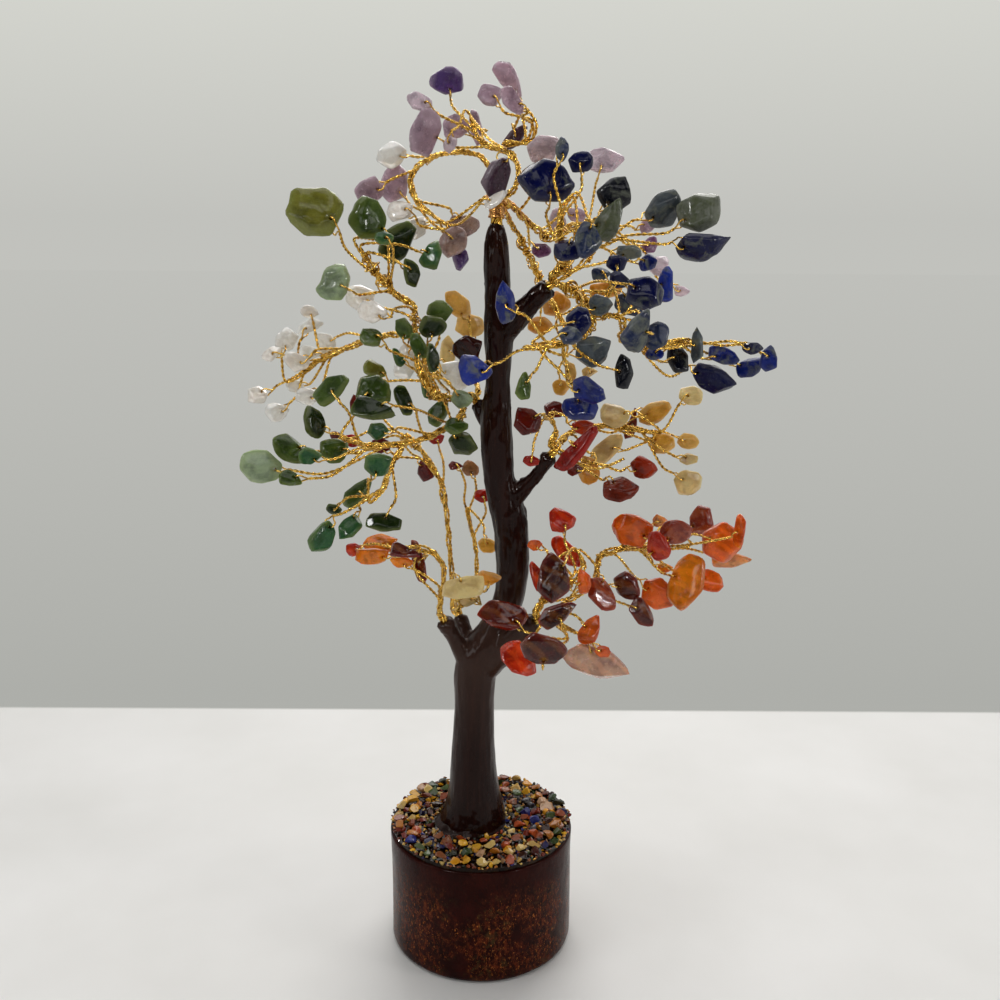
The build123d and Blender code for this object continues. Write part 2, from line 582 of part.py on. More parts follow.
for name, stem in stems.items():
    rods = rods_along(stem["route"], stem["width"])
    if not space.is_clear(stem["owner"], rods, wire_gap / 2):
        print("stem meets another:", name)
    space.add(stem["owner"], rods)


# Stone chips: each hangs on its sight line, at the depth nearest its stem where it and its twig are free
hole_radius = pair_width / 2 + hole_clearance


def edge_distance(outline, direction):
    """How far the outline's edge lies from its middle in one direction."""
    best = 0
    for (ax, ay), (bx, by) in zip(outline, outline[1:] + outline[:1]):
        wide = direction[0] * (ay - by) - direction[1] * (ax - bx)
        if abs(wide) < 1e-9:
            continue
        reach = (ax * (ay - by) - ay * (ax - bx)) / wide
        part = (direction[0] * ay - direction[1] * ax) / wide
        if reach > best and -1e-6 <= part <= 1 + 1e-6:
            best = reach
    return best


def stone_frame(row_px, depth_share, seed):
    """Plane, length, width, thickness and outline of one chip on its sight line."""
    across_px, down_px, long_px, wide_px, lean = row_px
    centre, scale, ray = sight(across_px, down_px, depth_share)
    length = max(long_px * scale, least_chip_length)
    width = max(wide_px * scale, least_chip_width)
    thickness = chip_thickness_share * width * spread(seed, 0.9, 1.1)
    sideways = Vector(0, 0, 1).cross(-ray).normalized()
    long_side = sideways.rotate(Axis((0, 0, 0), -ray), lean)
    roll = spread(seed + 1, 12, 42) * (1 if seed % 2 else -1)
    face = (-ray).rotate(Axis((0, 0, 0), long_side), roll)
    pitch = spread(seed + 2, -14, 14)
    wide_side = face.cross(long_side)
    long_side = long_side.rotate(Axis((0, 0, 0), wide_side), pitch)
    face = face.rotate(Axis((0, 0, 0), wide_side), pitch)
    shares = chip_outline_shares[seed % len(chip_outline_shares)]
    outline = [(x * length / 2, y * width / 2) for x, y in shares]
    return Plane(origin=centre, x_dir=long_side, z_dir=face), length, width, thickness, outline


def stone_rods(frame, length, width, thickness):
    """Three rounded rods side by side that stand for one chip."""
    rods = []
    for side, reach in ((-1, 0.62), (0, 1.0), (1, 0.62)):
        out = side * (width - thickness) / 2
        half = max(length * reach - thickness, 0) / 2
        rods.append((frame.from_local_coords((-half, out, 0)), frame.from_local_coords((half, out, 0)),
                     thickness / 2))
    return rods


def mitres_meet(points, width):
    """Whether a tube along these points would bend too sharply, or on a run too short for its mitres."""
    runs = [b - a for a, b in zip(points, points[1:])]
    turns = [a.get_angle(b) for a, b in zip(runs, runs[1:])]
    if max(turns) > sharpest_turn:
        return True
    taken = [0] + [width / 2 * math.tan(math.radians(turn / 2)) for turn in turns] + [0]
    if any(run.length < near + far + width / 4 for run, near, far in zip(runs, taken, taken[1:])):
        return True
    rods = rods_along(points, width)
    return any(rods_meet(rods[place:place + 1], rods[place + 2:], 0) for place in range(len(rods) - 2))


def twig_route(stem, place, frame, outline, thickness, bow, over):
    """From the stem's side, bowed, to the chip's neck, and the eye through its hole and back."""
    centre = frame.origin
    route = stem["route"]
    span = int(place)
    along = (route[span + 1] - route[span]).normalized()
    leave = route[span] + (route[span + 1] - route[span]) * (place - span)
    reach = centre - leave
    side = reach - along * reach.dot(along)
    if side.length < pair_width:
        return None
    side = side.normalized()
    root = leave + side * (stem["width"] / 2 + wire_gap + pair_width / 2)
    bow_way = reach.cross(side).normalized() * bow
    middle = root + (centre - root) * 0.5 + (bow_way + side) * reach.length * bow_share
    inward = frame.to_local_coords(middle)
    flat = Vector(inward.X, inward.Y, 0).normalized()
    edge = edge_distance(outline, (flat.X, flat.Y))
    hole = max(edge - hole_radius - hole_wall, 0)
    lift = (thickness / 2 + eye_clearance + pair_width / 2) * over
    points = [
        frame.from_local_coords(flat * (edge + neck_length)),
        frame.from_local_coords(flat * edge + Vector(0, 0, lift)),
        frame.from_local_coords(flat * hole + Vector(0, 0, lift)),
        frame.from_local_coords(flat * hole - Vector(0, 0, lift)),
        frame.from_local_coords(flat * edge - Vector(0, 0, lift)),
        frame.from_local_coords(flat * (edge + neck_length) - Vector(0, 0, pair_width + wire_gap) * over),
    ]
    points = [root, middle] + points
    if mitres_meet(points, pair_width):
        return None
    return points, flat * hole


def leave_cost(route, place, centre):
    """How far a twig that leaves the route here is from the usual length."""
    span = int(place)
    leave = route[span] + (route[span + 1] - route[span]) * (place - span)
    return abs((leave - centre).length - twig_length)


def settle(stem, row_px, seed):
    """The chip's frame, outline and twig at the first free depth and place along the stem."""
    route = stem["route"]
    lengths = [(b - a).length for a, b in zip(route, route[1:])]
    places = []
    for span, length in enumerate(lengths):
        steps = max(int(length / attach_step), 1)
        places += [span + (step + 0.5) / steps for step in range(steps) if span or step > 2]
    near = min(route, key=lambda point: (sight(*row_px[:2], point.Y / crown_half_depth)[0] - point).length)
    first_depth = near.Y + spread(seed, -depth_scatter, depth_scatter)
    for tried in range(49):
        offset = (tried + 1) // 2 * depth_step * (1 if (tried + seed) % 2 else -1)
        depth_share = (first_depth + offset) / crown_half_depth
        frame, length, width, thickness, outline = stone_frame(row_px, depth_share, seed)
        rods = stone_rods(frame, length, width, thickness)
        if not space.is_clear(stem["owner"], rods, chip_gap):
            continue
        places.sort(key=lambda place: leave_cost(route, place, frame.origin))
        first_bow = -1 if seed % 2 else 1
        ways = [(first_bow, 1), (first_bow, -1), (-first_bow, 1), (-first_bow, -1)]
        for place, (bow, over) in [(place, way) for place in places for way in ways]:
            twig = twig_route(stem, place, frame, outline, thickness, bow, over)
            if twig is None:
                continue
            points, hole = twig
            if rods_meet(rods, rods_along(points[:3], pair_width), wire_gap):
                continue
            if space.is_clear(stem["owner"], rods_along(points, pair_width), wire_gap * 0.9):
                space.add(stem["owner"], rods + rods_along(points, pair_width))
                return frame, thickness, outline, points, hole
    return None


def chip(frame, thickness, outline, hole):
    """One tumbled chip: a drilled slab with its edges worn away."""
    with BuildPart() as slab:
        with BuildSketch(frame.offset(-thickness / 2)):
            Polygon(*outline, align=None)
        extrude(amount=thickness)
        faces = slab.faces().sort_by(Axis(frame.origin, frame.z_dir))
        worn = faces[0].edges() + faces[-1].edges()
        chamfer(worn, chip_chamfer_share * thickness)
        with BuildSketch(frame.offset(thickness)):
            with Locations((hole.X, hole.Y)):
                RegularPolygon(hole_radius, 6)
        extrude(amount=-2 * thickness, mode=Mode.SUBTRACT)
    return slab.part


chips = {}
wires = {}
for name, stem in stems.items():
    tube = wire(stem["route"], stem["width"])
    if name in bends:
        away = stem["route"][0] - stem["route"][1]
        seat = Plane(origin=pivots[name], x_dir=away, z_dir=away.cross(Vector(0, 1, 0)))
        tube = tube + seat * Sphere(bead_share * stem["width"])
    wires.setdefault(stem["owner"] if stem["owner"] != "tree" else name, []).append(tube)
seed = 0
for (name, kind), rows_px in stone_px.items():
    stem = stems[name]
    for row_px in rows_px:
        seed += 1
        frame, thickness, outline, points, hole = settle(stem, row_px, seed)
        place = stem["owner"] if stem["owner"] != "tree" else "inner"
        chips.setdefault((place, kind), []).append(chip(frame, thickness, outline, hole))
        wires[stem["owner"] if stem["owner"] != "tree" else name].append(wire(points, pair_width))
for name, pieces in wires.items():
    with BuildPart() as stem_wires:
        add(pieces)
    save(stem_wires.part, f"{name}_wires")
for (place, kind), pieces in chips.items():
    with BuildPart() as stones:
        add(pieces)
    save(stones.part, f"{place}_{kind}_chips")
for name, pivot in pivots.items():
    print("bend", name, *(round(value, 2) for value in pivot))
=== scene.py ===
import json
import math

import bmesh
import bpy
import numpy as np
from mathutils import Matrix, Vector, noise


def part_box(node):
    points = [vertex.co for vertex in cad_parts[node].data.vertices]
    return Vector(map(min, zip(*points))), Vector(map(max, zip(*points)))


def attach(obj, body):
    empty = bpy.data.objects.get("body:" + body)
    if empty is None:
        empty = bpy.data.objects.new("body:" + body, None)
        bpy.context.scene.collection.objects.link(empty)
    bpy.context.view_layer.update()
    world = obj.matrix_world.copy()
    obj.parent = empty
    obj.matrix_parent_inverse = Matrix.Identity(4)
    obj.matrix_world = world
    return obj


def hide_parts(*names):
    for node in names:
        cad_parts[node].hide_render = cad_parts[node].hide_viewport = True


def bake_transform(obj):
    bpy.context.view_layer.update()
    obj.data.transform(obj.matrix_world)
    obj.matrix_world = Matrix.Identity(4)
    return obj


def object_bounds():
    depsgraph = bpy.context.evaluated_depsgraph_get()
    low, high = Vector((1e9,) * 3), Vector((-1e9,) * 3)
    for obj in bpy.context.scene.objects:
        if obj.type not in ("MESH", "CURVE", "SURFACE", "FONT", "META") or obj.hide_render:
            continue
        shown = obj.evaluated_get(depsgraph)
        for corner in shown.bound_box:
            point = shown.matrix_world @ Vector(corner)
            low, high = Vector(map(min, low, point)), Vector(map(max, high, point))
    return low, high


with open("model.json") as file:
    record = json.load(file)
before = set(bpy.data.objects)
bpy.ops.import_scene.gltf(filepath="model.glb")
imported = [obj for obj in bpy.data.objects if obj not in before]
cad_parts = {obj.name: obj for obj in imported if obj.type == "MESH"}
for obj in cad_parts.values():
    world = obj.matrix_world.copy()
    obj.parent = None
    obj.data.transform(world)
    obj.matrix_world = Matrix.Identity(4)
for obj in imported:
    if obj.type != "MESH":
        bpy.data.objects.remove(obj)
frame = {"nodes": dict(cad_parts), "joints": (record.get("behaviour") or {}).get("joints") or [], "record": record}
first_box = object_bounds()
nodes = frame["nodes"]
joints = {joint["child"]: joint for joint in frame["joints"]}
node_body = {node: body for body, members in frame["record"]["behaviour"]["bodies"].items() for node in members}
MM = 0.001
TURN = 2 * math.pi

# Camera, from the photograph's size, focal length (both in pixels), tilt and roll
EYE = Vector((4.944, -284.074, 202.92))
PHOTO, FOCAL, TILT, ROLL, SENSOR = 1000, 1100, 14.4, 0.3, 36
VIEW = Matrix.Rotation(math.radians(90 - TILT), 4, "X") @ Matrix.Rotation(math.radians(ROLL), 4, "Z")
camera_data = bpy.data.cameras.new("camera")
camera_data.sensor_width = SENSOR
camera_data.lens = FOCAL * SENSOR / PHOTO
camera_data.clip_start = 0.01
camera_data.clip_end = 20
camera = bpy.data.objects.new("camera", camera_data)
camera.matrix_world = Matrix.Translation(EYE * MM) @ VIEW
bpy.context.scene.collection.objects.link(camera)
bpy.context.scene.camera = camera
bpy.context.scene.view_settings.view_transform = "Standard"


def pixel(point):
    """Where a point in millimetres falls in the photograph's frame."""
    local = VIEW.inverted() @ (Vector(point) - EYE)
    return PHOTO / 2 + FOCAL * local.x / -local.z, PHOTO / 2 - FOCAL * local.y / -local.z


# Materials
def shade(red, green, blue):
    """A colour given as it looks on a screen, from 0 to 255."""
    return tuple((value / 255) ** 2.2 for value in (red, green, blue))


class Build:
    """The nodes of a material or a world, added one by one."""

    def __init__(self, owner):
        self.owner = owner
        owner.use_nodes = True
        self.tree = owner.node_tree

    def node(self, kind, inputs=None, **settings):
        made = self.tree.nodes.new("ShaderNode" + kind)
        for key, value in settings.items():
            setattr(made, key, value)
        for key, value in (inputs or {}).items():
            self.put(made.inputs[key], value)
        return made

    def put(self, socket, value):
        if isinstance(value, bpy.types.NodeSocket):
            self.tree.links.new(value, socket)
        elif isinstance(value, tuple) and len(value) == 3 and socket.type == "RGBA":
            socket.default_value = (*value, 1)
        else:
            socket.default_value = value

    def finish(self, **inputs):
        """The material, with these inputs of its surface set."""
        for key, value in inputs.items():
            self.put(self.tree.nodes["Principled BSDF"].inputs[key.replace("_", " ")], value)
        return self.owner

    def place(self, stretch=(1, 1, 1)):
        """Coordinates in millimetres in the object's frame, stretched along its axes."""
        where = self.node("TexCoord").outputs["Object"]
        return self.node("Mapping", {"Vector": where, "Scale": tuple(1000 * value for value in stretch)}).outputs[0]

    def axis(self, name):
        return self.node("SeparateXYZ", {"Vector": self.place()}).outputs[name]

    def mark(self, name):
        """A value that is stored with the mesh's corners."""
        return self.node("Attribute", attribute_name=name).outputs

    def noise(self, size, detail=4, rough=0.55, where=None, warp=0.0):
        """Soft noise whose blobs are about the given size in millimetres."""
        return self.node("TexNoise", {"Vector": where or self.place(), "Scale": 1 / size, "Detail": detail,
                                      "Roughness": rough, "Distortion": warp}).outputs["Fac"]

    def steps(self, factor, stops):
        """A colour ramp: stops are (place, colour) or (place, grey)."""
        ramp = self.node("ValToRGB", {"Fac": factor})
        elements = ramp.color_ramp.elements
        for index, (place, colour) in enumerate(stops):
            element = elements[index] if index < 2 else elements.new(place)
            element.position = place
            element.color = (*colour, 1) if isinstance(colour, tuple) else (colour, colour, colour, 1)
        return ramp.outputs["Color"]

    def mix(self, factor, first, second, blend="MIX"):
        made = self.node("Mix", data_type="RGBA", blend_type=blend)
        for index, value in ((0, factor), (6, first), (7, second)):
            self.put(made.inputs[index], value)
        return made.outputs[2]

    def span(self, value, low, high):
        """How far a value is from low to high, from 0 to 1."""
        return self.node("MapRange", {"Value": value, "From Min": low, "From Max": high}).outputs[0]

    def maths(self, operation, first, second):
        return self.node("Math", {0: first, 1: second}, operation=operation).outputs[0]

    def bump(self, height, distance, strength=1.0, after=None):
        """Bumps of a depth in millimetres, on top of the bumps given as after."""
        inputs = {"Height": height, "Distance": distance * MM, "Strength": strength}
        if after is not None:
            inputs["Normal"] = after
        return self.node("Bump", inputs).outputs["Normal"]


# Lights in metres, aimed at a height on the tree's axis. Only glossy surfaces see a glint
for name, place, height, size, power, colour in (
        ("back_light", (0.15, 0.75, 0.75), 0.14, (0.9, 0.6), 5.0, (1.0, 0.98, 0.96)),
        ("top_light", (-0.1, 0.0, 1.0), 0.1, (0.7, 0.7), 3.0, (1, 1, 1)),
        ("left_light", (-0.8, -0.35, 0.45), 0.13, (0.2, 0.6), 1.1, (0.98, 0.99, 1.0)),
        ("right_light", (0.8, -0.3, 0.4), 0.12, (0.2, 0.6), 1.3, (1.0, 0.99, 0.97)),
        ("front_light", (0.1, -0.9, 0.55), 0.12, (0.5, 0.3), 1.3, (1, 1, 1)),
        ("left_glint", (-0.45, -0.55, 0.65), 0.14, (0.10, 0.10), 2.2, (1, 1, 1)),
        ("right_glint", (0.5, -0.5, 0.35), 0.12, (0.07, 0.10), 1.2, (1, 1, 1))):
    data = bpy.data.lights.new(name, "AREA")
    data.shape = "RECTANGLE"
    data.size, data.size_y = size
    data.energy = power
    data.color = colour
    lamp = bpy.data.objects.new(name, data)
    lamp.location = place
    lamp.rotation_euler = (Vector((0, 0, height)) - Vector(place)).to_track_quat("-Z", "Y").to_euler()
    lamp.visible_diffuse = not name.endswith("_glint")
    bpy.context.scene.collection.objects.link(lamp)

# The wall that the camera sees, lighter upwards as painted light, and the dimmer room in front that the object
# reflects
WALL_TOP, WALL_MIDDLE, WALL_FOOT = (0.66, 0.665, 0.62), (0.535, 0.537, 0.508), (0.42, 0.425, 0.40)
sky = Build(bpy.data.worlds.new("studio"))
bpy.context.scene.world = sky.owner
directions = sky.node("SeparateXYZ", {0: sky.node("TexCoord").outputs["Generated"]}).outputs
seen = sky.steps(sky.span(directions["Z"], 0.0, 0.18), [(0, WALL_MIDDLE), (1, WALL_TOP)])
lit = sky.steps(sky.span(directions["Y"], -0.35, 0.6), [(0, (0.04, 0.04, 0.04)), (1, (0.62, 0.62, 0.60))])
chosen = sky.mix(sky.node("LightPath").outputs["Is Camera Ray"], lit, seen)
sky.put(sky.tree.nodes["Background"].inputs["Color"], chosen)


def gold_material(name, stops):
    b = Build(bpy.data.materials.new(name))
    worn = b.noise(1.4, 5)
    fine = b.noise(0.25, 3)
    return b.finish(Base_Color=b.steps(worn, stops), Metallic=1.0, IOR=1.5,
                    Roughness=b.steps(fine, [(0.3, 0.13), (0.75, 0.28)]), Normal=b.bump(fine, 0.02, 0.5))


def stone_material(kind, veins, speck, dark, rim_light_tone, mottle, glow=0.0, radius=None, clear=0.0, coat=0.2,
                   rough=(0.12, 0.34), band=0.0, patch=4.0, gloss=0.12, edge=0.5, own=1.0):
    """A tumbled stone: its own tone, cloudy patches, veins, specks and bands, under a wet polish."""
    b = Build(bpy.data.materials.new(kind + "_finish"))
    veins, speck, dark = shade(*veins), shade(*speck), shade(*dark)
    rim_light_tone = shade(*rim_light_tone) if rim_light_tone else (0.5, 0.5, 0.5)
    subsurface = {"Subsurface_Weight": glow, "Subsurface_Radius": radius, "Subsurface_Scale": 0.002} if glow else {}
    marks = b.mark("tone")
    tone, amount = marks["Color"], marks["Alpha"]
    double = b.mix(1.0, tone, tone, "ADD")
    cloud = b.noise(patch, 6, 0.6, warp=0.8)
    deep = b.noise(patch * 1.2, 4, 0.55, b.place((1.13, 0.9, 1.07)), warp=0.4)
    streak = b.noise(1.1, 5, 0.6, b.place((0.25, 1.3, 1.0)), warp=0.3)
    grain = b.noise(0.5, 4, 0.65)
    colour = b.mix(b.steps(deep, [(0.36, 0.8), (0.56, 0.0)]), tone, b.mix(0.6, tone, dark))
    streaked = b.maths("MULTIPLY", b.steps(streak, [(0.52, 0.0), (0.72, 0.35)]),
                       b.steps(amount, [(0.0, 0.25), (0.5, 1.0)]))
    colour = b.mix(streaked, colour, b.mix(0.3, b.mix(0.8, tone, tone, "ADD"), veins))
    shift = b.maths("ADD", cloud, b.maths("MULTIPLY", amount, 0.16))
    light = b.mix(own, veins, b.mix(0.35, double, veins))
    colour = b.mix(b.steps(shift, [(mottle[0] + 0.06, 0.0), (mottle[1] + 0.08, mottle[2])]), colour, light)
    colour = b.mix(b.steps(grain, [(0.62, 0.0), (0.74, 0.3)]), colour, speck)
    colour = b.mix(b.steps(grain, [(0.26, 0.5), (0.38, 0.0)]), colour, dark)
    if band:
        wave = b.node("TexWave", {"Vector": b.place(), "Scale": 0.11, "Distortion": 9.0, "Detail": 4.0,
                                  "Detail Scale": 0.5}, bands_direction="DIAGONAL").outputs["Fac"]
        colour = b.mix(b.steps(wave, [(0.5, 0.0), (0.9, band)]), colour, light)
    # Painted light and shade at each chip's thin rim: a lighter tone where light would shine through, a darker red
    # outline on carnelian
    rim = b.mark("rim")["Fac"]
    colour = b.mix(b.steps(rim, [(0.2, 0.0), (1.0, edge)]), colour, b.mix(0.55, tone, rim_light_tone))
    dents = b.noise(1.5, 4, 0.5)
    normal = b.bump(b.noise(0.35, 3, 0.6), 0.04, 0.4, b.bump(dents, 0.3, 0.5))
    return b.finish(Base_Color=colour, Roughness=b.steps(dents, [(0.35, rough[0]), (0.7, rough[1])]), Normal=normal,
                    IOR=1.5, Specular_IOR_Level=gloss, Coat_Weight=coat, Coat_Roughness=0.07,
                    Transmission_Weight=clear, **subsurface)


def trunk_material():
    """Near-black brown resin with fine streaks along it, and a painted sheen that lightens it round the fork."""
    b = Build(bpy.data.materials.new("trunk_resin_finish"))
    streak = b.noise(1.6, 5, 0.6, b.place((1, 1, 0.07)))
    cloud = b.noise(9, 4, 0.5, b.place((1, 1, 0.35)))
    colour = b.steps(streak, [(0.25, (0.005, 0.0008, 0.0005)), (0.5, (0.010, 0.0020, 0.0013)),
                              (0.78, (0.030, 0.009, 0.0055))])
    colour = b.mix(b.steps(cloud, [(0.35, 0.0), (0.7, 0.6)]), colour, (0.020, 0.005, 0.0034))
    # Painted sheen: a lighter brown band at the fork's height stands in for light reflected there
    height = b.maths("DIVIDE", b.axis("Z"), 200.0)
    fork_sheen_painted = b.steps(height, [(0.29, 0.0), (0.42, 0.75), (0.49, 0.75), (0.58, 0.0)])
    colour = b.mix(b.maths("MULTIPLY", fork_sheen_painted, b.steps(cloud, [(0.3, 0.7), (0.6, 1.0)])), colour, (0.052, 0.027, 0.020))
    pores = b.noise(0.5, 4, 0.6)
    colour = b.mix(b.steps(pores, [(0.62, 0.0), (0.75, 0.5)]), colour, (0.07, 0.040, 0.028))
    normal = b.bump(pores, 0.08, 0.4, b.bump(streak, 0.45, 0.6))
    return b.finish(Base_Color=colour, Roughness=b.steps(cloud, [(0.3, 0.18), (0.7, 0.38)]), Normal=normal,
                    Specular_IOR_Level=0.05, Specular_Tint=(1.0, 0.72, 0.6), Coat_Weight=0.22, Coat_Roughness=0.045)


def base_material():
    """Dark maroon lacquer, dabbed with a sponge in rust, orange and olive."""
    b = Build(bpy.data.materials.new("base_lacquer_finish"))
    patch = b.noise(11, 3, 0.55, warp=0.4)
    dabs = b.noise(1.2, 8, 0.78, b.place((1, 1, 0.55)))
    fine = b.noise(0.55, 6, 0.75, b.place((1, 1, 0.6)))
    ground = b.steps(b.noise(6, 4), [(0.3, (0.010, 0.0012, 0.0010)), (0.7, (0.032, 0.0034, 0.0024))])
    height = b.steps(b.maths("DIVIDE", b.axis("Z"), 34.0), [(0.0, 0.5), (0.15, 1.0), (0.62, 1.0), (0.84, 0.06)])
    where = b.maths("MULTIPLY", b.steps(patch, [(0.42, 0.0), (0.50, 1.0)]), height)
    rust = b.maths("MULTIPLY", b.steps(dabs, [(0.49, 0.0), (0.59, 0.8)]), where)
    colour = b.mix(rust, ground, (0.14, 0.026, 0.007))
    olive = b.maths("MULTIPLY", b.steps(b.noise(1.9, 7, 0.7, warp=0.3), [(0.52, 0.0), (0.64, 0.7)]),
                    b.maths("MULTIPLY", b.steps(b.noise(8, 3), [(0.45, 0.0), (0.6, 1.0)]), height))
    colour = b.mix(olive, colour, (0.060, 0.038, 0.012))
    orange = b.maths("MULTIPLY", b.steps(fine, [(0.58, 0.0), (0.64, 0.9)]), where)
    colour = b.mix(orange, colour, (0.52, 0.16, 0.03))
    colour = b.mix(b.steps(b.noise(0.9, 4), [(0.3, 0.55), (0.42, 0.0)]), colour, (0.008, 0.002, 0.003))
    wavy = b.noise(3.5, 3, 0.5, b.place((1, 1, 0.5)))
    normal = b.bump(dabs, 0.10, 0.35, b.bump(wavy, 0.30, 0.5))
    return b.finish(Base_Color=colour, Roughness=b.steps(wavy, [(0.3, 0.18), (0.7, 0.34)]), Normal=normal,
                    Specular_IOR_Level=0.05, Specular_Tint=(1.0, 0.66, 0.55), Coat_Weight=0.06, Coat_Roughness=0.12)


def resin_material():
    b = Build(bpy.data.materials.new("set_resin_finish"))
    colour = b.steps(b.noise(2.0, 5), [(0.3, shade(14, 8, 5)), (0.55, shade(34, 20, 10)), (0.8, shade(78, 52, 24))])
    wavy = b.noise(1.2, 3)
    return b.finish(Base_Color=colour, Roughness=b.steps(wavy, [(0.3, 0.06), (0.7, 0.22)]),
                    Normal=b.bump(wavy, 0.4, 0.6), Specular_IOR_Level=0.12)


def gravel_material():
    b = Build(bpy.data.materials.new("gravel_finish"))
    tone = b.mark("tone")["Color"]
    cloud = b.noise(0.9, 5, 0.6)
    fine = b.noise(0.3, 4, 0.6)
    colour = b.mix(b.steps(cloud, [(0.35, 0.0), (0.7, 0.4)]), tone, b.mix(0.12, tone, shade(236, 210, 160)))
    colour = b.mix(b.steps(fine, [(0.28, 0.7), (0.42, 0.0)]), colour, b.mix(0.7, tone, shade(30, 16, 12)))
    return b.finish(Base_Color=colour, Roughness=b.steps(fine, [(0.3, 0.08), (0.7, 0.26)]),
                    Normal=b.bump(cloud, 0.15, 0.5), Specular_IOR_Level=0.15, Coat_Weight=0.3, Coat_Roughness=0.04,
                    Subsurface_Weight=0.12, Subsurface_Radius=(1.0, 0.8, 0.6), Subsurface_Scale=0.001)


def floor_material():
    """A pale floor that turns into the wall's colours behind the tree's shadow, with painted shade that darkens the
    wall towards its foot.
    """
    b = Build(bpy.data.materials.new("floor_finish"))
    near = b.steps(b.noise(60, 3), [(0.3, shade(222, 221, 218)), (0.7, shade(230, 229, 227))])
    depth = b.axis("Y")
    reach = b.node("VectorMath", {0: b.place()}, operation="LENGTH").outputs["Value"]
    # Painted shade: the wall beyond the floor's line gets darker towards its foot
    slope = b.maths("DIVIDE", 203.0, b.maths("ADD", depth, 284.0))
    surface = b.tree.nodes["Principled BSDF"].outputs[0]
    for place, start, end, colour in (
            (reach, 330.0, 900.0, (0.70, 0.695, 0.68)),
            (depth, 146.0, 148.0, b.steps(slope, [(0.0, WALL_MIDDLE), (0.45, WALL_FOOT)]))):
        plain = b.node("Emission", {"Color": colour, "Strength": 1.0}).outputs[0]
        surface = b.node("MixShader", {"Fac": b.span(place, start, end), 1: surface, 2: plain}).outputs[0]
    b.put(b.tree.nodes["Material Output"].inputs["Surface"], surface)
    return b.finish(Base_Color=near, Roughness=0.55, Normal=b.bump(b.noise(0.6, 3), 0.03, 0.3))


bpy.ops.mesh.primitive_plane_add(size=8, location=(0, 0, 0))
floor = bpy.context.object
floor.name = "floor"
floor.data.materials.append(floor_material())


# Pieces and meshes
def add_piece(name, mesh, body, material, stands_for=()):
    """A piece from a mesh: it rides on a body if one is given, and may stand for nodes."""
    mesh.polygons.foreach_set("use_smooth", [not name.endswith("_grains")] * len(mesh.polygons))
    mesh.materials.clear()
    mesh.materials.append(material)
    piece = bpy.data.objects.new(name, mesh)
    bpy.context.scene.collection.objects.link(piece)
    if body:
        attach(piece, body)
    if stands_for:
        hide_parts(*stands_for)
    return piece


def make_piece(name, body, verts, faces, material, slot, stands_for=(), **marks):
    """A piece from corners in millimetres, faces, and values for each corner."""
    mesh = bpy.data.meshes.new(name)
    mesh.from_pydata([tuple(v) for v in np.asarray(verts, float) * MM], [], faces)
    mesh.update()
    for key, values in marks.items():
        coloured = values.ndim == 2
        layer = mesh.attributes.new(key, "FLOAT_COLOR" if coloured else "FLOAT", "POINT")
        layer.data.foreach_set("color" if coloured else "value", values.astype(np.float32).ravel())
    return add_piece(name, mesh, body, material, stands_for)


def grid_faces(rows, columns, start=0, open_rows=False, open_columns=False, flip=False):
    """Four-sided faces over a grid of corners, stored row by row, that closes on itself unless open."""
    faces = []
    for row in range(rows - open_rows):
        low, high = start + row * columns, start + (row + 1) % rows * columns
        for column in range(columns - open_columns):
            after = (column + 1) % columns
            corners = (low + column, high + column, high + after, low + after)
            faces.append(corners[:1] + corners[:0:-1] if flip else corners)
    return faces


def node_mesh(node):
    """A copy of a node's mesh whose faces share their corners."""
    bm = bmesh.new()
    bm.from_mesh(nodes[node].data)
    bmesh.ops.remove_doubles(bm, verts=bm.verts, dist=2e-7)
    return bm


def box_of(node):
    """The low and high corners of a node's box, in millimetres."""
    return [np.array(corner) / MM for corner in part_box(node)]


def clusters(items, neighbours):
    """Items in groups: each starts with the first that is left, and takes in all that it leads to."""
    seen = set()
    groups = []
    for start in items:
        if start not in seen:
            seen.add(start)
            groups.append([start])
            for member in groups[-1]:
                for other in neighbours(member, start):
                    if other not in seen:
                        seen.add(other)
                        groups[-1].append(other)
    return groups


def solids_of(node):
    """The node's separate solids: each an array of corners in millimetres and a list of triangles."""
    bm = node_mesh(node)
    bmesh.ops.triangulate(bm, faces=bm.faces)
    bm.verts.ensure_lookup_table()
    found = []
    for group in clusters(bm.verts, lambda vert, start: [edge.other_vert(vert) for edge in vert.link_edges]):
        place = {vert.index: index for index, vert in enumerate(group)}
        triangles = {tuple(place[v.index] for v in face.verts) for vert in group for face in vert.link_faces}
        found.append((np.array([vert.co for vert in group]) / MM, sorted(triangles)))
    bm.free()
    return found


def flat_groups(points, triangles):
    """Triangles joined into flat faces: (normal, area, set of corners, count of triangles)."""
    edges = {}
    normals = []
    areas = []
    for index, (a, b, c) in enumerate(triangles):
        cross = np.cross(points[b] - points[a], points[c] - points[a])
        size = np.linalg.norm(cross)
        normals.append(cross / max(size, 1e-12))
        areas.append(size / 2)
        for pair in ((a, b), (b, c), (c, a)):
            edges.setdefault(frozenset(pair), []).append(index)

    def flat(member, start):
        a, b, c = triangles[member]
        return [other for pair in ((a, b), (b, c), (c, a)) for other in edges[frozenset(pair)]
                if normals[other] @ normals[start] > 0.99999]

    return [(normals[group[0]], sum(areas[member] for member in group),
             set(corner for member in group for corner in triangles[member]), len(group))
            for group in clusters(range(len(triangles)), flat)]


def unit(vector):
    return vector / max(np.linalg.norm(vector), 1e-9)


def apart(first, second):
    return np.linalg.norm(first - second)


def steady(seed, low=0.0, high=1.0):
    """A value between low and high that is the same each run."""
    return low + (high - low) * ((math.sin(seed * 12.9898 + 4.1414) * 43758.5453) % 1)


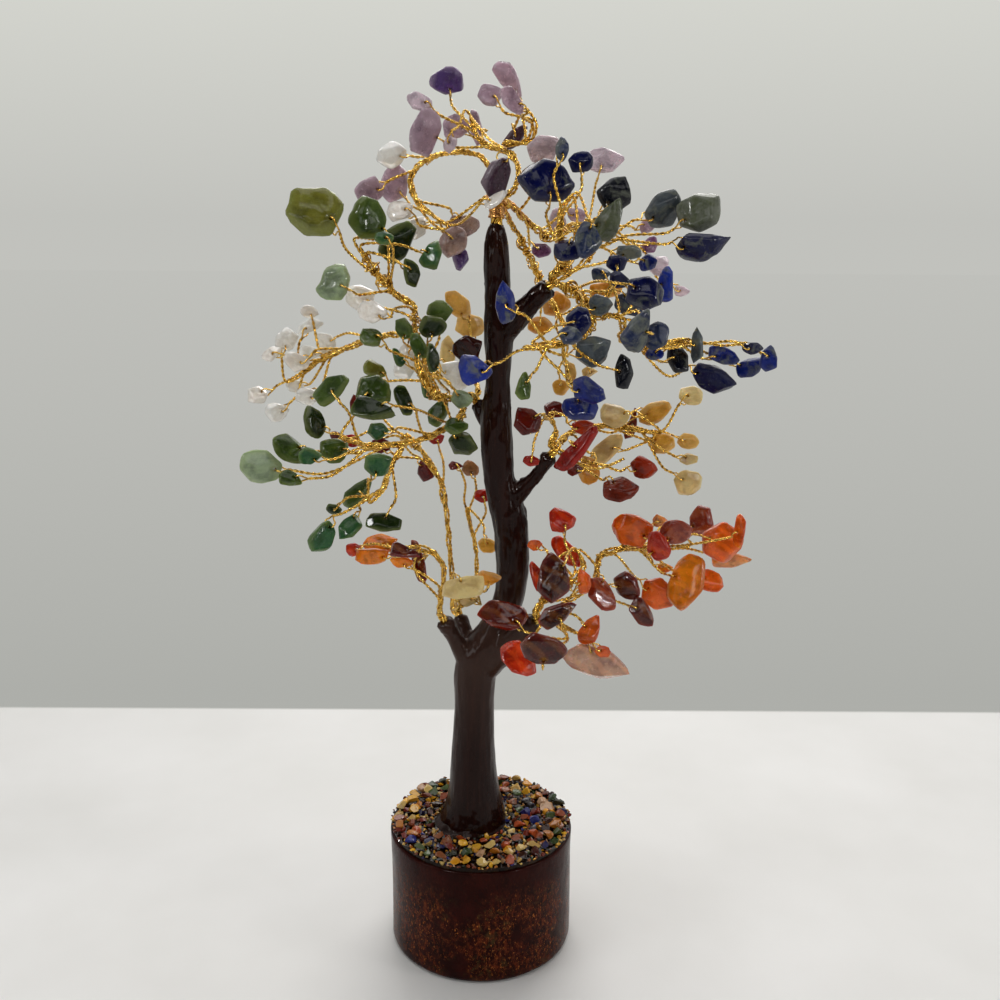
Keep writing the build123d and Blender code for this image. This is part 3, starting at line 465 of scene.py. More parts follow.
def ripples(point, rough=0.9, octaves=3):
    """Smooth noise of several sizes at a point."""
    return noise.fractal(Vector(point), rough, 2.0, octaves)


def ground_off(body, way, limit, depth=1.0):
    """Corners beyond a limit in one direction are pressed back to it, or almost."""
    return body - (np.maximum(body @ way - limit, 0) * depth)[..., None] * way


def lengths(line):
    """How far along a line each of its points is."""
    return np.r_[0, np.cumsum(np.linalg.norm(np.diff(line, axis=0), axis=1))]


def sample(line, marks, places):
    """Points of a line at places between the marks of its own points."""
    return np.stack([np.interp(places, marks, axis) for axis in line.T], axis=1)


def smooth_line(points, step):
    """A rounded line through the points, cut in even steps."""
    points = [np.asarray(p, float) for p in points]
    ends = [2 * points[0] - points[1]] + points + [2 * points[-1] - points[-2]]
    line = []
    for p0, p1, p2, p3 in zip(ends, ends[1:], ends[2:], ends[3:]):
        count = max(int(apart(p2, p1) / step), 2)
        t0, t1, t2 = (max(apart(b, a), 1e-6) ** 0.5 for a, b in ((p0, p1), (p1, p2), (p2, p3)))
        m1 = (p1 - p0) / t0 - (p2 - p0) / (t0 + t1) + (p2 - p1) / t1
        m2 = (p2 - p1) / t1 - (p3 - p1) / (t1 + t2) + (p3 - p2) / t2
        t = np.linspace(0, 1, count, endpoint=False)[:, None]
        h = (2 * t**3 - 3 * t**2 + 1, t**3 - 2 * t**2 + t, -2 * t**3 + 3 * t**2, t**3 - t**2)
        line.append(h[0] * p1 + h[1] * m1 * t1 + h[2] * p2 + h[3] * m2 * t1)
    line = np.vstack(line + [points[-1][None]])
    away = lengths(line)
    return sample(line, away, np.linspace(0, away[-1], max(int(away[-1] / step), 3)))


def frames_along(line):
    """Steady side and up directions along a line."""
    aims = np.gradient(line, axis=0)
    aims /= np.maximum(np.linalg.norm(aims, axis=1), 1e-9)[:, None]
    side = np.cross(aims[0], (0.3, 0.2, 1.0) if abs(aims[0][2]) < 0.9 else (1.0, 0.2, 0.1))
    sides = [unit(side)]
    for aim in aims[1:]:
        sides.append(unit(sides[-1] - aim * (sides[-1] @ aim)))
    sides = np.array(sides)
    return sides, np.cross(aims, sides)


def round_about(angle, side, up):
    """Directions at an angle round a line, between its side and up directions."""
    return np.cos(angle)[:, None] * side + np.sin(angle)[:, None] * up


def lathe(name, node, slot, material, around, section):
    """A piece turned about its node's middle. Its section at a turn is a list of radii and heights."""
    x, y = (sum(box_of(node)) / 2)[:2]
    verts = [(x + radius * math.cos(turn), y + radius * math.sin(turn), z)
             for turn in (TURN * k / around for k in range(around)) for radius, z in section(turn)]
    faces = grid_faces(around, len(verts) // around, open_columns=True)
    make_piece(name, "tree", verts, faces, material, slot, (node,))


class Tubes:
    """Many round wires gathered into one mesh."""

    def __init__(self):
        self.verts = []
        self.faces = []
        self.count = 0

    def add(self, line, radius, sides=6):
        line = np.asarray(line, float)
        side, up = frames_along(line)
        radius = np.broadcast_to(np.asarray(radius, float), (len(line),))[:, None, None]
        around = round_about(np.arange(sides) * TURN / sides, side[:, None], up[:, None])
        self.verts.append((line[:, None] + radius * around).reshape(-1, 3))
        self.faces += grid_faces(len(line), sides, self.count, open_rows=True, flip=True)
        self.faces.append(tuple(self.count + k for k in range(sides))[::-1])
        self.count += len(line) * sides
        self.faces.append(tuple(self.count - sides + k for k in range(sides)))

    def strands(self, line, step, count, pitch, spread, radius, sides=6):
        """Strands laid round a line, one turn in each pitch."""
        side, up = frames_along(line)
        away = np.arange(len(line)) * step
        for strand in range(count):
            angle = strand * TURN / count + away * TURN / pitch
            self.add(line + spread * round_about(angle, side, up), radius, sides)

    def piece(self, name, body, material, stands_for=()):
        return make_piece(name, body, np.vstack(self.verts), self.faces, material, "gold_wire", stands_for)


# Stone chips. Each kind's tones: the colour, then the photograph's pixels where a stone has it
TONES = {
    "amethyst": {
        "lilac": [(176, 146, 160)], "pale": [(212, 192, 200), (421, 102), (603, 161), (682, 291), (658, 264)],
        "mauve": [(184, 152, 164), (510, 81), (476, 128), (395, 183), (370, 190)],
        "deep": [(76, 46, 112), (448, 81), (460, 258)], "plum": [(72, 46, 62), (497, 176), (515, 137)],
        "brown": [(168, 138, 122), (466, 226), (453, 241)], "magenta": [(132, 76, 120), (541, 250), (650, 245)],
        "pink": [(208, 182, 182), (544, 151)]},
    "lapis": {
        "navy": [(12, 18, 64), (547, 183), (567, 250), (702, 246), (712, 378), (643, 293)],
        "royal": [(22, 38, 112), (590, 391), (506, 300), (749, 367), (769, 358)],
        "grey": [(74, 82, 88), (662, 210), (628, 253), (600, 306), (591, 351), (697, 346)],
        "olive": [(84, 90, 66), (610, 220), (698, 212)], "black": [(16, 18, 28), (623, 372), (677, 358), (615, 195)],
        "bright": [(32, 52, 146), (475, 370), (666, 283)], "slate": [(42, 52, 82), (639, 329), (656, 335)]},
    "green": {
        "sage": [(62, 80, 32), (369, 215), (440, 311)], "pale": [(146, 162, 130), (261, 467), (462, 400), (335, 283)],
        "dark": [(34, 46, 18), (398, 242), (433, 326), (374, 410), (411, 272), (383, 522)],
        "teal": [(48, 90, 56), (433, 254), (379, 431)], "olive": [(116, 114, 46), (374, 369), (317, 211)]},
    "quartz": {
        "clear": [(252, 250, 242), (454, 376), (392, 155)],
        "pink": [(250, 240, 228), (362, 298), (375, 312), (495, 200)]},
    "yellow": {
        "straw": [(204, 162, 84)], "pale": [(214, 192, 132), (689, 482), (692, 395), (463, 586)],
        "amber": [(196, 126, 34), (558, 305), (540, 325), (605, 291), (588, 470), (490, 579)],
        "golden": [(206, 152, 58), (653, 413), (664, 443)], "beige": [(200, 174, 116), (615, 416), (608, 449)]},
    "jasper": {
        "maroon": [(88, 20, 14)], "black": [(38, 12, 10), (468, 349)], "tan": [(166, 118, 76), (471, 469)],
        "rust": [(150, 46, 20), (644, 468), (582, 427)], "red": [(144, 26, 16), (578, 449)],
        "brown": [(106, 40, 26), (632, 424), (620, 489)]},
    "carnelian": {
        "orange": [(226, 100, 20), (590, 630), (634, 530), (657, 593)],
        "red": [(196, 42, 16), (566, 553), (520, 659), (564, 522)],
        "amber": [(234, 134, 20), (382, 544), (374, 556), (685, 580)],
        "dark": [(84, 14, 9), (406, 552), (506, 616), (419, 563)],
        "maroon": [(54, 13, 10), (554, 576), (544, 649), (559, 614)],
        "plum": [(78, 26, 24), (626, 586), (642, 612)], "pale": [(226, 158, 96), (730, 559), (661, 522)],
        "pink": [(206, 166, 142), (596, 662)], "brown": [(138, 56, 36), (701, 522), (675, 532), (602, 593)],
        "bright": [(240, 104, 12), (722, 540), (739, 532)]},
}
# A stone that is further than this many pixels from all of them has one of its kind's usual tones
SAME_STONE = 9.0
USUAL = {"amethyst": ["lilac", "pale", "mauve", "lilac"], "lapis": ["navy", "royal", "navy", "slate"],
         "green": ["sage", "dark", "sage", "teal"], "quartz": ["clear", "clear", "pink"],
         "yellow": ["straw", "beige", "golden"], "jasper": ["maroon", "maroon", "red"],
         "carnelian": ["orange", "red", "amber"]}
# How mottled and streaked the stones of a tone are, at most, where it isn't 1
MOTTLED = {"navy": -0.5, "black": -0.6, "bright": 0.2, "royal": 0.3, "dark": -0.2, "maroon": -0.3, "plum": -0.1}

# How far each kind's outlines grow from their holes before their corners are worn off
GROWTH = {"amethyst": 1.18, "lapis": 1.22, "green": 1.10, "quartz": 1.26, "yellow": 1.19, "jasper": 1.14,
          "carnelian": 1.19}
INNER_GROWTH = 0.95
# Corners round a chip and from its hole to its rim; then in millimetres the hole's radius and the room left
# inside the frame's box
AROUND, REACH = 44, 10
HOLE_RADIUS, BOX_MARGIN = 0.46, 0.02


def chip_frame(points, triangles):
    """Middle, three directions, half thickness, outline and hole of one drilled slab."""
    groups = flat_groups(points, triangles)
    normal = max(groups, key=lambda group: group[1])[0]
    longest = unit(points.max(0) - points.min(0))
    along = unit(longest - normal * (longest @ normal))
    across = np.cross(normal, along)
    middle = points.mean(0)
    local = (points - middle) @ np.stack([along, across, normal], axis=1)
    low, high = local[:, 2].min(), local[:, 2].max()
    middle = middle + normal * ((high + low) / 2)
    order = sorted(set((round(x, 4), round(y, 4)) for x, y in local[:, :2]))
    hull = []
    for sweep in (order, order[::-1]):
        part = []
        for p in sweep:
            while len(part) > 1 and ((part[-1][0] - part[-2][0]) * (p[1] - part[-2][1])
                                     - (part[-1][1] - part[-2][1]) * (p[0] - part[-2][0])) <= 1e-6:
                part.pop()
            part.append(p)
        hull += part[:-1]
    hull = np.array(hull)
    walls = []
    for direction, area, corners, count in groups:
        if abs(direction @ normal) < 0.02:
            centre = local[sorted(corners)][:, :2].mean(0)
            edge = min(abs(np.cross(b - a, centre - a)) / max(apart(b, a), 1e-6)
                       for a, b in zip(hull, np.roll(hull, -1, axis=0)))
            if edge > 0.25:
                walls.append(centre)
    hole = np.mean(walls, axis=0) if len(walls) > 2 else np.zeros(2)
    return middle, (along, across, normal), (high - low) / 2, hull, hole


def tumbled_chip(points, triangles, seed, kind, growth):
    """Corners of one tumbled chip, ring by ring from the hole's top edge out, round the rim and back."""
    middle, (along, across, normal), half, edge, hole = chip_frame(points, triangles)
    for share in (0.08, 0.22, 0.22):
        after = np.roll(edge, -1, axis=0)
        edge = np.stack([edge * (1 - share) + after * share, edge * share + after * (1 - share)], 1).reshape(-1, 2)
    closed = np.vstack([edge, edge[:1]])
    away = lengths(closed)
    rim = sample(closed, away, np.linspace(0, away[-1], AROUND, endpoint=False))
    offset = Vector((seed * 7.13 % 50, seed * 3.71 % 50, seed * 1.93 % 50))
    for index, point in enumerate(rim):
        ripple = ripples(Vector((*point, 0)) * 0.24 + offset, 0.8, 2)
        rim[index] = hole + (point - hole) * (growth - 0.08 * max(0.3 + ripple, 0))
    outward = rim - hole
    reach = np.linalg.norm(outward, axis=1)
    outward = outward / reach[:, None]
    ways = 1 - (1 - np.linspace(0, 1, REACH)) ** 1.7
    width = max(half * 0.9, 0.6)
    wedge = steady(seed + 0.3, 0, TURN)
    rings = []
    near_rim = []
    for sign in (1, -1):
        for way in ways if sign > 0 else ways[-2::-1]:
            flat = hole + outward * (HOLE_RADIUS + (reach - HOLE_RADIUS) * way)[:, None]
            inset = np.minimum((reach - HOLE_RADIUS) * (1 - way) / width, 1)
            round_off = (1 - (1 - inset) ** 2.3) ** (1 / 2.3)
            lean = 1 - 0.14 * (1 + (flat @ (math.cos(wedge), math.sin(wedge))) / max(reach.max(), 1))
            lumps = np.array([ripples(Vector((x, y, sign * 9.0)) * 0.33 + offset) for x, y in flat])
            rings.append(np.column_stack([flat, sign * half * round_off * lean * (1 - 0.14 * (0.4 + lumps))]))
            near_rim.append(1 - inset)
    body = np.array(rings)
    clear = kind == "quartz"
    bevels = (4, (4.3, 5.1, 6.7), (1.5, 2.8), (0.66, 0.86), 1.0)
    breaks = (14 if clear else 8, (1.7, 2.9, 3.1), (0.25, 1.25), (0.70 if clear else 0.76, 0.95), 0.96)
    for cuts, seeds, lifts, limits, depth in (bevels, breaks):
        for cut in range(cuts):
            turn, lift, limit = (seed * value + cut for value in seeds)
            turn, lift = steady(turn, 0, TURN), steady(lift, *lifts) * (1 if cut % 2 else -1)
            way = unit(np.array([math.cos(turn), math.sin(turn), lift]))
            body = ground_off(body, way, (body @ way).max() * steady(limit, *limits), depth)
    body = np.concatenate([body, body[[0, -1]].mean(0)[None]])
    near_rim = np.array(near_rim + [near_rim[0] * 0])
    placed = middle + body[..., :1] * along + body[..., 1:2] * across + body[..., 2:3] * normal
    low, high = (np.array(corner) / MM for corner in first_box)
    return np.clip(placed, low + BOX_MARGIN, high - BOX_MARGIN), near_rim, middle


def chips_piece(node, kind):
    """The tumbled stones of one node, each with its tone, how mottled it is, and how near its rim is."""
    verts, faces, tones, rims = [], [], [], []
    growth = INNER_GROWTH if node.startswith("inner_green") else GROWTH[kind]
    for index, (points, triangles) in enumerate(solids_of(node)):
        seed = index + 31 * len(node) + 7 * sum(map(ord, node))
        body, near_rim, middle = tumbled_chip(points, triangles, seed, kind, growth)
        rings, around = body.shape[:2]
        faces += grid_faces(rings, around, index * rings * around)
        place = pixel(middle)
        found = [(math.dist(mark, place), tone) for tone, (colour, *marks) in TONES[kind].items() for mark in marks]
        tone = min(found + [(SAME_STONE, USUAL[kind][seed % len(USUAL[kind])])])[1]
        vary = steady(seed + 0.7, 0.85, 1.1)
        colour = [min(value * vary, 1) for value in shade(*TONES[kind][tone][0])]
        mottled = steady(seed + 0.9) * MOTTLED.get(tone, 1.0)
        verts.append(body.reshape(-1, 3))
        tones.append(np.tile([*colour, mottled], (rings * around, 1)))
        rims.append(near_rim.reshape(-1))
    make_piece(node.replace("_chips", "_stones"), node_body[node], np.vstack(verts), faces, STONES[kind], kind,
               (node,), tone=np.vstack(tones), rim=np.concatenate(rims))


# Each kind's veins, specks, dark parts and painted rim tone, then its mottling: where it starts and ends, and how
# strong it is
STONES = {kind: stone_material(kind, *colours, mottle, **look) for kind, colours, mottle, look in (
    ("amethyst", [(206, 186, 198), (230, 218, 226), (60, 36, 66), (214, 198, 208)], (0.5, 0.75, 0.4),
     dict(glow=0.35, radius=(1.0, 0.8, 0.9), clear=0.25)),
    ("lapis", [(104, 108, 96), (140, 142, 136), (8, 10, 26), None], (0.46, 0.62, 0.8),
     dict(rough=(0.10, 0.30), patch=3.2, edge=0.12, own=0.0)),
    ("green", [(122, 136, 74), (150, 160, 104), (20, 34, 12), (148, 158, 92)], (0.5, 0.75, 0.5),
     dict(glow=0.25, radius=(0.7, 1.0, 0.4), coat=0.22)),
    ("quartz", [(250, 248, 244), (255, 255, 252), (228, 216, 206), (255, 252, 248)], (0.5, 0.7, 0.5),
     dict(glow=0.4, radius=(1.0, 0.97, 0.95), clear=0.3, rough=(0.03, 0.2), coat=0.8, gloss=0.7, patch=1.8)),
    ("yellow", [(216, 190, 128), (230, 208, 156), (136, 84, 28), (226, 206, 150)], (0.48, 0.75, 0.5),
     dict(glow=0.35, radius=(1.0, 0.7, 0.35))),
    ("jasper", [(132, 50, 30), (140, 70, 48), (26, 8, 7), (120, 40, 26)], (0.54, 0.7, 0.5),
     dict(glow=0.06, radius=(1.0, 0.4, 0.3), coat=0.3, band=0.2, edge=0.15)),
    ("carnelian", [(232, 150, 60), (222, 150, 90), (90, 16, 6), (138, 30, 10)], (0.5, 0.72, 0.5),
     dict(glow=0.6, radius=(1.0, 0.45, 0.15), clear=0.15, coat=0.5, band=0.3, edge=0.75)))}
for node in sorted(nodes):
    if node.endswith("_chips"):
        chips_piece(node, node.split("_")[-2])

# Wires: the routes of stems and twigs are read from the frame, and real twisted pairs follow them
GOLD = gold_material("gold_wire_finish", [(0.30, (0.20, 0.09, 0.016)), (0.48, (0.64, 0.38, 0.06)),
                                          (0.72, (0.97, 0.70, 0.20))])
COPPER = gold_material("copper_wire_finish", [(0.30, (0.20, 0.07, 0.02)), (0.5, (0.58, 0.28, 0.08)),
                                              (0.75, (0.90, 0.56, 0.22))])
# Millimetres: half the distance of a pair's wires, their radius, the length of one twist, and the step along them
PAIR_RADIUS, WIRE_RADIUS, TWIST, STEP = 0.20, 0.22, 2.7, 0.36
# Millimetres: the radius that sets stems and twigs apart, how near a stem starts to its tip, and the top stub's height
THINNEST_STEM, NEAR_TIP, TOP_STUB = 0.45, 5, 190


class Wire:
    """A stem or a twig: its node, its route in millimetres and what it grows from."""

    def __init__(self, **facts):
        self.__dict__.update(facts)


def hexagons(points, triangles):
    """The flat faces with six corners: (corners, middle, normal)."""
    rings = [(sorted(corners), normal) for normal, area, corners, count in flat_groups(points, triangles)
             if count == 4 and len(corners) == 6]
    return [(ring, points[ring].mean(0), normal) for ring, normal in rings]


def tube_route(points, triangles):
    """Points along a six-sided tube's middle from one cap, its radius, and whether a bead is at its other end."""
    linked = {}
    for a, b, c in triangles:
        for first, second in ((a, b), (b, c), (c, a)):
            linked.setdefault(first, set()).add(second)
            linked.setdefault(second, set()).add(first)
    ring, centre = [(ring, centre) for ring, centre, normal in hexagons(points, triangles)
                    if np.ptp(np.linalg.norm(points[ring] - centre, axis=1)) < 0.02][-1]
    radius = apart(points[ring[0]], centre)
    route = [centre]
    seen = set(ring)
    while True:
        after = set(other for corner in ring for other in linked[corner]) - seen
        if len(after) != 6:
            return route, radius, bool(after)
        seen |= after
        ring = sorted(after)
        route.append(points[ring].mean(0))


def nearest_on(route, point):
    """Distance, span with share along it, and point of a route nearest to a point."""
    best = (1e9, 0, None)
    for span, (a, b) in enumerate(zip(route, route[1:])):
        share = min(max((point - a) @ (b - a) / max((b - a) @ (b - a), 1e-9), 0), 1)
        close = a + (b - a) * share
        gap = apart(point, close)
        if gap < best[0]:
            best = (gap, span + share, close)
    return best


wire_nodes = [node for node in sorted(nodes) if node.endswith("_wires")]
stems = []
twigs = []
for node in wire_nodes:
    for points, triangles in solids_of(node):
        route, radius, root = tube_route(points, triangles)
        if root:
            route.append(np.array(joints[node_body[node]]["pos_m"]) / MM)
            route.reverse()
        if radius > THINNEST_STEM:
            stems.append(Wire(node=node, route=route, radius=radius, root=root))
        else:
            if apart(route[0], route[5]) < apart(route[-1], route[2]):
                route.reverse()
            twigs.append(Wire(node=node, route=route))

# The bundle's tips at the trunk's stubs: centre, direction and radius
core_points, core_triangles = solids_of("wire_core")[0]
stem_ends = [end for stem in stems for end in (stem.route[0], stem.route[-1])]
tips = [(centre, normal, apart(core_points[ring[0]], centre))
        for ring, centre, normal in hexagons(core_points, core_triangles)
        if min(apart(end, centre) for end in stem_ends) < NEAR_TIP]

# Each stem's carrier: the bundle's nearest tip, or the side of another stem
for stem in stems:
    first, last = stem.route[0], stem.route[-1]
    tip = min(tips, key=lambda tip: min(apart(tip[0], first), apart(tip[0], last)))
    if not stem.root and apart(tip[0], last) < min(apart(tip[0], first), NEAR_TIP):
        stem.route.reverse()
    stem.tip = tip if apart(tip[0], stem.route[0]) < NEAR_TIP else None
for stem in stems:
    if stem.tip is None:
        ends = []
        for other in stems:
            if other is not stem:
                for end in (0,) if stem.root else (0, -1):
                    gap, place, close = nearest_on(other.route, stem.route[end])
                    ends.append((gap - other.radius, -end, other, place, close))
        gap, flip, *stem.carrier = min(ends, key=lambda row: row[:2])
        if flip:
            stem.route.reverse()


def root_points(stem):
    """Points inside the carrier that lead to the stem's start."""
    if stem.tip is not None:
        centre, normal, radius = stem.tip
        return [centre - normal * 3.0, centre - normal * 0.2]
    other, place, close = stem.carrier
    span = min(int(place), len(other.route) - 2)
    back = unit(other.route[span] - other.route[span + 1])
    return [close + back * 3.2, close + back * 1.0]


# Each twig's stem, its place along it, its lane in the stem's bundle, and whether it runs through to the root
for twig in twigs:
    options = [(nearest_on(stem.route, twig.route[0]), stem) for stem in stems if stem.node == twig.node]
    (gap, twig.place, close), twig.stem = min(options, key=lambda row: row[0][0] - row[1].radius)
for stem in stems:
    mine = sorted((twig for twig in twigs if twig.stem is stem), key=lambda twig: -twig.place)
    through = min(len(mine), 2 if len(mine) < 6 else 3)
    for order, twig in enumerate(mine):
        twig.lane = order * TURN / through, 0.30 + 0.09 * through if through > 1 else 0.0
        twig.through = order < through


def wired(tubes, roots, twig, seed):
    """One stone's wire: two strands twisted along stem and twig, and the loop through the stone."""
    stem = twig.stem
    span = int(twig.place)
    ahead = stem.route[min(span + 1, len(stem.route) - 1)]
    leave = stem.route[span] + (ahead - stem.route[span]) * (twig.place - span)
    spine = root_points(stem) + stem.route[:span + 1]
    gap = apart(leave, spine[-1])
    if gap > 2.5:
        spine.append(leave - unit(leave - spine[-1]) * min(2.2, 0.45 * gap))
    line = smooth_line(spine, STEP)
    side, up = frames_along(line)
    turn, out = twig.lane
    away = np.arange(len(line)) * STEP
    spread = np.clip(away / 4.0, 0.6, 1) * out
    lane = line + spread[:, None] * round_about(turn + away * TURN / 15, side, up)
    wobble = np.stack([np.sin(away / 2.3 + seed * axis * 1.7) + 0.6 * np.sin(away / 1.1 + seed * axis * 2.9)
                       for axis in (1, 2, 3)], axis=1)
    lane = lane + 0.16 * wobble * np.clip(away / 5.0, 0, 1)[:, None]
    if not twig.through:
        roots = None
        aim = line[-1] - line[max(len(line) - 6, 0)]
        wound_knot(tubes, line[max(len(line) - 8, 0)], aim, stem.radius * 0.62, 1.7, 0.2, 3)
        lane = lane[-min(int(5.5 / STEP), len(lane)):]
    root, middle, neck, over, top, under_top, under = twig.route[:7]
    mid = (top + under_top) / 2
    lift = unit(top - under_top)
    tight = max(apart(top, under_top) / 2 - 0.17, 0.4)
    edge_mid = (over + under) / 2
    path = smooth_line([*lane[::max(len(lane) // 14, 1)][:-1], root * 0.6 + leave * 0.4, middle, neck], STEP)
    side, up = frames_along(path)
    away = np.arange(len(path)) * apart(path[1], path[0])
    aim = math.atan2(lift @ up[-1], lift @ side[-1])
    pitch = TWIST * steady(seed, 0.9, 1.15)
    swing = PAIR_RADIUS * round_about(aim - (away[-1] - away) * TURN / pitch, side, up)
    first, second = path + swing, path - swing
    inward = unit(mid - edge_mid)

    def half_loop(strand, corner, lift):
        return [strand[-3], strand[-1], corner - lift * 0.3 + (neck - corner) * 0.2, edge_mid + lift * tight,
                mid + lift * tight - inward * 0.25, mid + lift * tight * 0.6 + inward * 0.12]

    loop = half_loop(first, over, lift) + [mid + inward * 0.16] + half_loop(second, under, -lift)[::-1]
    loop = smooth_line(loop, 0.22)
    skip = np.linalg.norm(loop - first[-1], axis=1)[: len(loop) // 3].argmin() + 1
    keep = loop[skip: len(loop) - skip]
    cut = 0
    if roots is not None:
        pivot = stem.route[0]
        beyond = (path - pivot) @ unit(stem.route[1] - pivot)
        passed = np.nonzero((beyond > 3.2) | (np.arange(1, len(path) + 1) * STEP > 14))[0]
        cut = int(passed[0]) if len(passed) else len(path) // 4
        roots.add(first[:cut + 1], WIRE_RADIUS)
        roots.add(second[:cut + 1], WIRE_RADIUS)
    tubes.add(np.vstack([first[cut:], keep, second[:cut - 1 if cut else None:-1]]), WIRE_RADIUS)


# The photograph's pixels where loose loops show: on fixed stems, and on bending ones. Wire this near gets them
TANGLED = [(430, 300), (414, 310), (408, 400), (430, 425), (545, 262), (585, 300), (612, 345), (540, 385),
           (545, 590)]
TANGLED_BENDS = [(386, 284)]
TANGLE_REACH = 30


def tangle(tubes, line, inner, seed):
    """A loose loop of single wire thrown round a bundle, no two alike."""
    side, up = frames_along(line)
    t = np.linspace(0, 1, 70)
    place = t * (len(line) - 1)
    near = np.clip(place.astype(int), 0, len(line) - 1)
    angle = seed * 2.3 + t * TURN * steady(seed, 2.2, 3.4) * (1 if steady(seed + 1) > 0.5 else -1)
    swell = inner + steady(seed + 2, 0.9, 1.9) * np.sin(math.pi * t) * (0.7 + 0.3 * np.sin(5 * t + seed))
    slide = 1.2 * np.sin(angle * 0.5 + seed)
    loop = sample(line, np.arange(len(line)), place) + swell[:, None] * round_about(angle, side[near], up[near]) \
        + slide[:, None] * np.sin(math.pi * t)[:, None] * unit(line[-1] - line[0])
    tubes.add(smooth_line(loop, 0.35), 0.2)


def wound_knot(tubes, centre, aim, inner, length, wire, turns):
    """Wire wound round a stem: even turns that climb along it."""
    aim = unit(aim)
    side = unit(np.cross(aim, (0.31, 0.95, 0.1)))
    t = np.linspace(0, 1, turns * 14 + 1)
    tubes.add(centre + ((t - 0.5) * length)[:, None] * aim
              + (inner + wire) * round_about(t * turns * TURN, side, np.cross(aim, side)), wire)


for number, node in enumerate(wire_nodes):
    tubes = Tubes()
    roots = {}
    for index, twig in enumerate([twig for twig in twigs if twig.node == node]):
        if twig.stem.root:
            roots.setdefault(id(twig.stem), (twig.stem, Tubes()))
        root_tubes = roots[id(twig.stem)][1] if twig.stem.root else None
        wired(tubes, root_tubes, twig, index + 17 * number)
    for stem in [stem for stem in stems if stem.node == node]:
        start, aim = stem.route[0], stem.route[1] - stem.route[0]
        if stem.root:
            wound_knot(tubes, start, aim, stem.radius * 0.92, stem.radius * 1.5, 0.2, 5)
        else:
            wound_knot(tubes, start + unit(aim) * 1.6, aim, stem.radius * 0.92, 1.6, 0.19, 4)
        line = smooth_line(stem.route, 0.5)[8 if stem.root else 4:]
        for part in range((len(line) + 4) // 12):
            reach = line[12 * part: 14 + 12 * part]
            place = pixel(reach.mean(0))
            if min(math.dist(place, mark) for mark in (TANGLED_BENDS if stem.root else TANGLED)) < TANGLE_REACH:
                for loop in range(3):
                    tangle(tubes, reach, 0.5, part + 3.3 * number + 7.1 * loop + len(line) * 0.17)
    body = node_body[node]
    tubes.piece(node.replace("_wires", "_twisted_wires"), body, GOLD, (node,))
    for stem, root in roots.values():
        piece = root.piece(body + "_root_wires", None, GOLD)
        pivot, aim = stem.route[0], unit(stem.route[1] - stem.route[0])
        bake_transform(piece)

# The bundle in the trunk: strands laid round each other at each stub's end
core_tubes = Tubes()
for centre, normal, radius in tips:
    line = smooth_line([centre - normal * 9, centre - normal * 4.5, centre], 0.5)
    core_tubes.add(line, radius * 0.42)
    core_tubes.strands(line, 0.5, 6, 16, radius * 0.66, radius * 0.33)
core_tubes.piece("wire_core_strands", "tree", GOLD, ("wire_core",))

# The winding on the trunk's top, and the thick strands that come out of it
winding = Tubes()
for stem in stems:
    if stem.tip is not None and not stem.root and stem.tip[0][2] > TOP_STUB:
        reach = smooth_line([stem.tip[0] - stem.tip[1] * 1.0] + stem.route, 0.4)[:36]
        winding.strands(reach, 0.4, 3, 6.5, 0.56, 0.46 - 0.012 * (np.arange(len(reach)) * 0.4), sides=8)
low, high = box_of("top_winding")
middle = (low + high) / 2
t = np.linspace(0, 1, 90)
angle = t * 5 * TURN
swell = (high - low)[0] / 2 - 0.55 - 0.35 * t + 0.12 * np.sin(angle * 0.37)
winding.add(np.column_stack([middle[0] + swell * np.cos(angle), middle[1] + swell * np.sin(angle),
                             low[2] + 0.5 + (high[2] - low[2] - 1.0) * t]), 0.42, sides=8)
winding.piece("top_winding_turns", "tree", COPPER, ("top_winding",))

# Trunk: a copy of the frame's mesh with even small faces, then ripples, drips, knobs and the flare at its foot
TRUNK_FOOT = 33
bm = node_mesh("trunk")
mesh = bpy.data.meshes.new("trunk_copy")
bm.to_mesh(mesh)
bm.free()
copy = bpy.data.objects.new("trunk_copy", mesh)
bpy.context.scene.collection.objects.link(copy)
remesh = copy.modifiers.new("remesh", "REMESH")
remesh.mode = "VOXEL"
remesh.voxel_size = 0.55 * MM
copy.modifiers.new("soften", "SMOOTH").iterations = 4
trunk_mesh = bpy.data.meshes.new_from_object(copy.evaluated_get(bpy.context.evaluated_depsgraph_get()))
bpy.data.objects.remove(copy)


def per_corner(mesh, name):
    flat = np.zeros(len(mesh.vertices) * 3, np.float32)
    mesh.vertices.foreach_get(name, flat)
    return flat.reshape(-1, 3)


corners, normals = per_corner(trunk_mesh, "co") / MM, per_corner(trunk_mesh, "normal")
stub_ends = [centre for centre, normal, radius in tips if centre[2] < TOP_STUB]
for index, (x, y, z) in enumerate(corners.copy()):
    if z < TRUNK_FOOT:
        continue
    ridge = ripples((x * 0.42, y * 0.42, z * 0.045), 0.9, 4)
    lump = ripples(Vector((x * 0.2, y * 0.2, z * 0.11)) + Vector((7, 3, 1)), 0.8)
    drip = max(noise.noise(Vector((x * 0.9, y * 0.9, z * 0.16)) + Vector((2, 9, 4))) - 0.35, 0)
    bumps = ripples(Vector((x, y, z)) * 0.45, 0.8)
    rough = min(max((z - 60) / 60, 0.35), 1)
    flare = max(1 - (z - TRUNK_FOOT) / 17, 0) ** 2
    knob = max(1 - min(apart(corners[index], end) for end in stub_ends) / 7.5, 0)
    corners[index] += normals[index] * (knob * (1.2 + 0.7 * bumps))
    corners[index] += normals[index] * (rough * (0.30 * ridge + 0.28 * lump + 0.9 * drip) - 0.12 + 1.3 * flare)
trunk_mesh.vertices.foreach_set("co", (corners * MM).astype(np.float32).ravel())
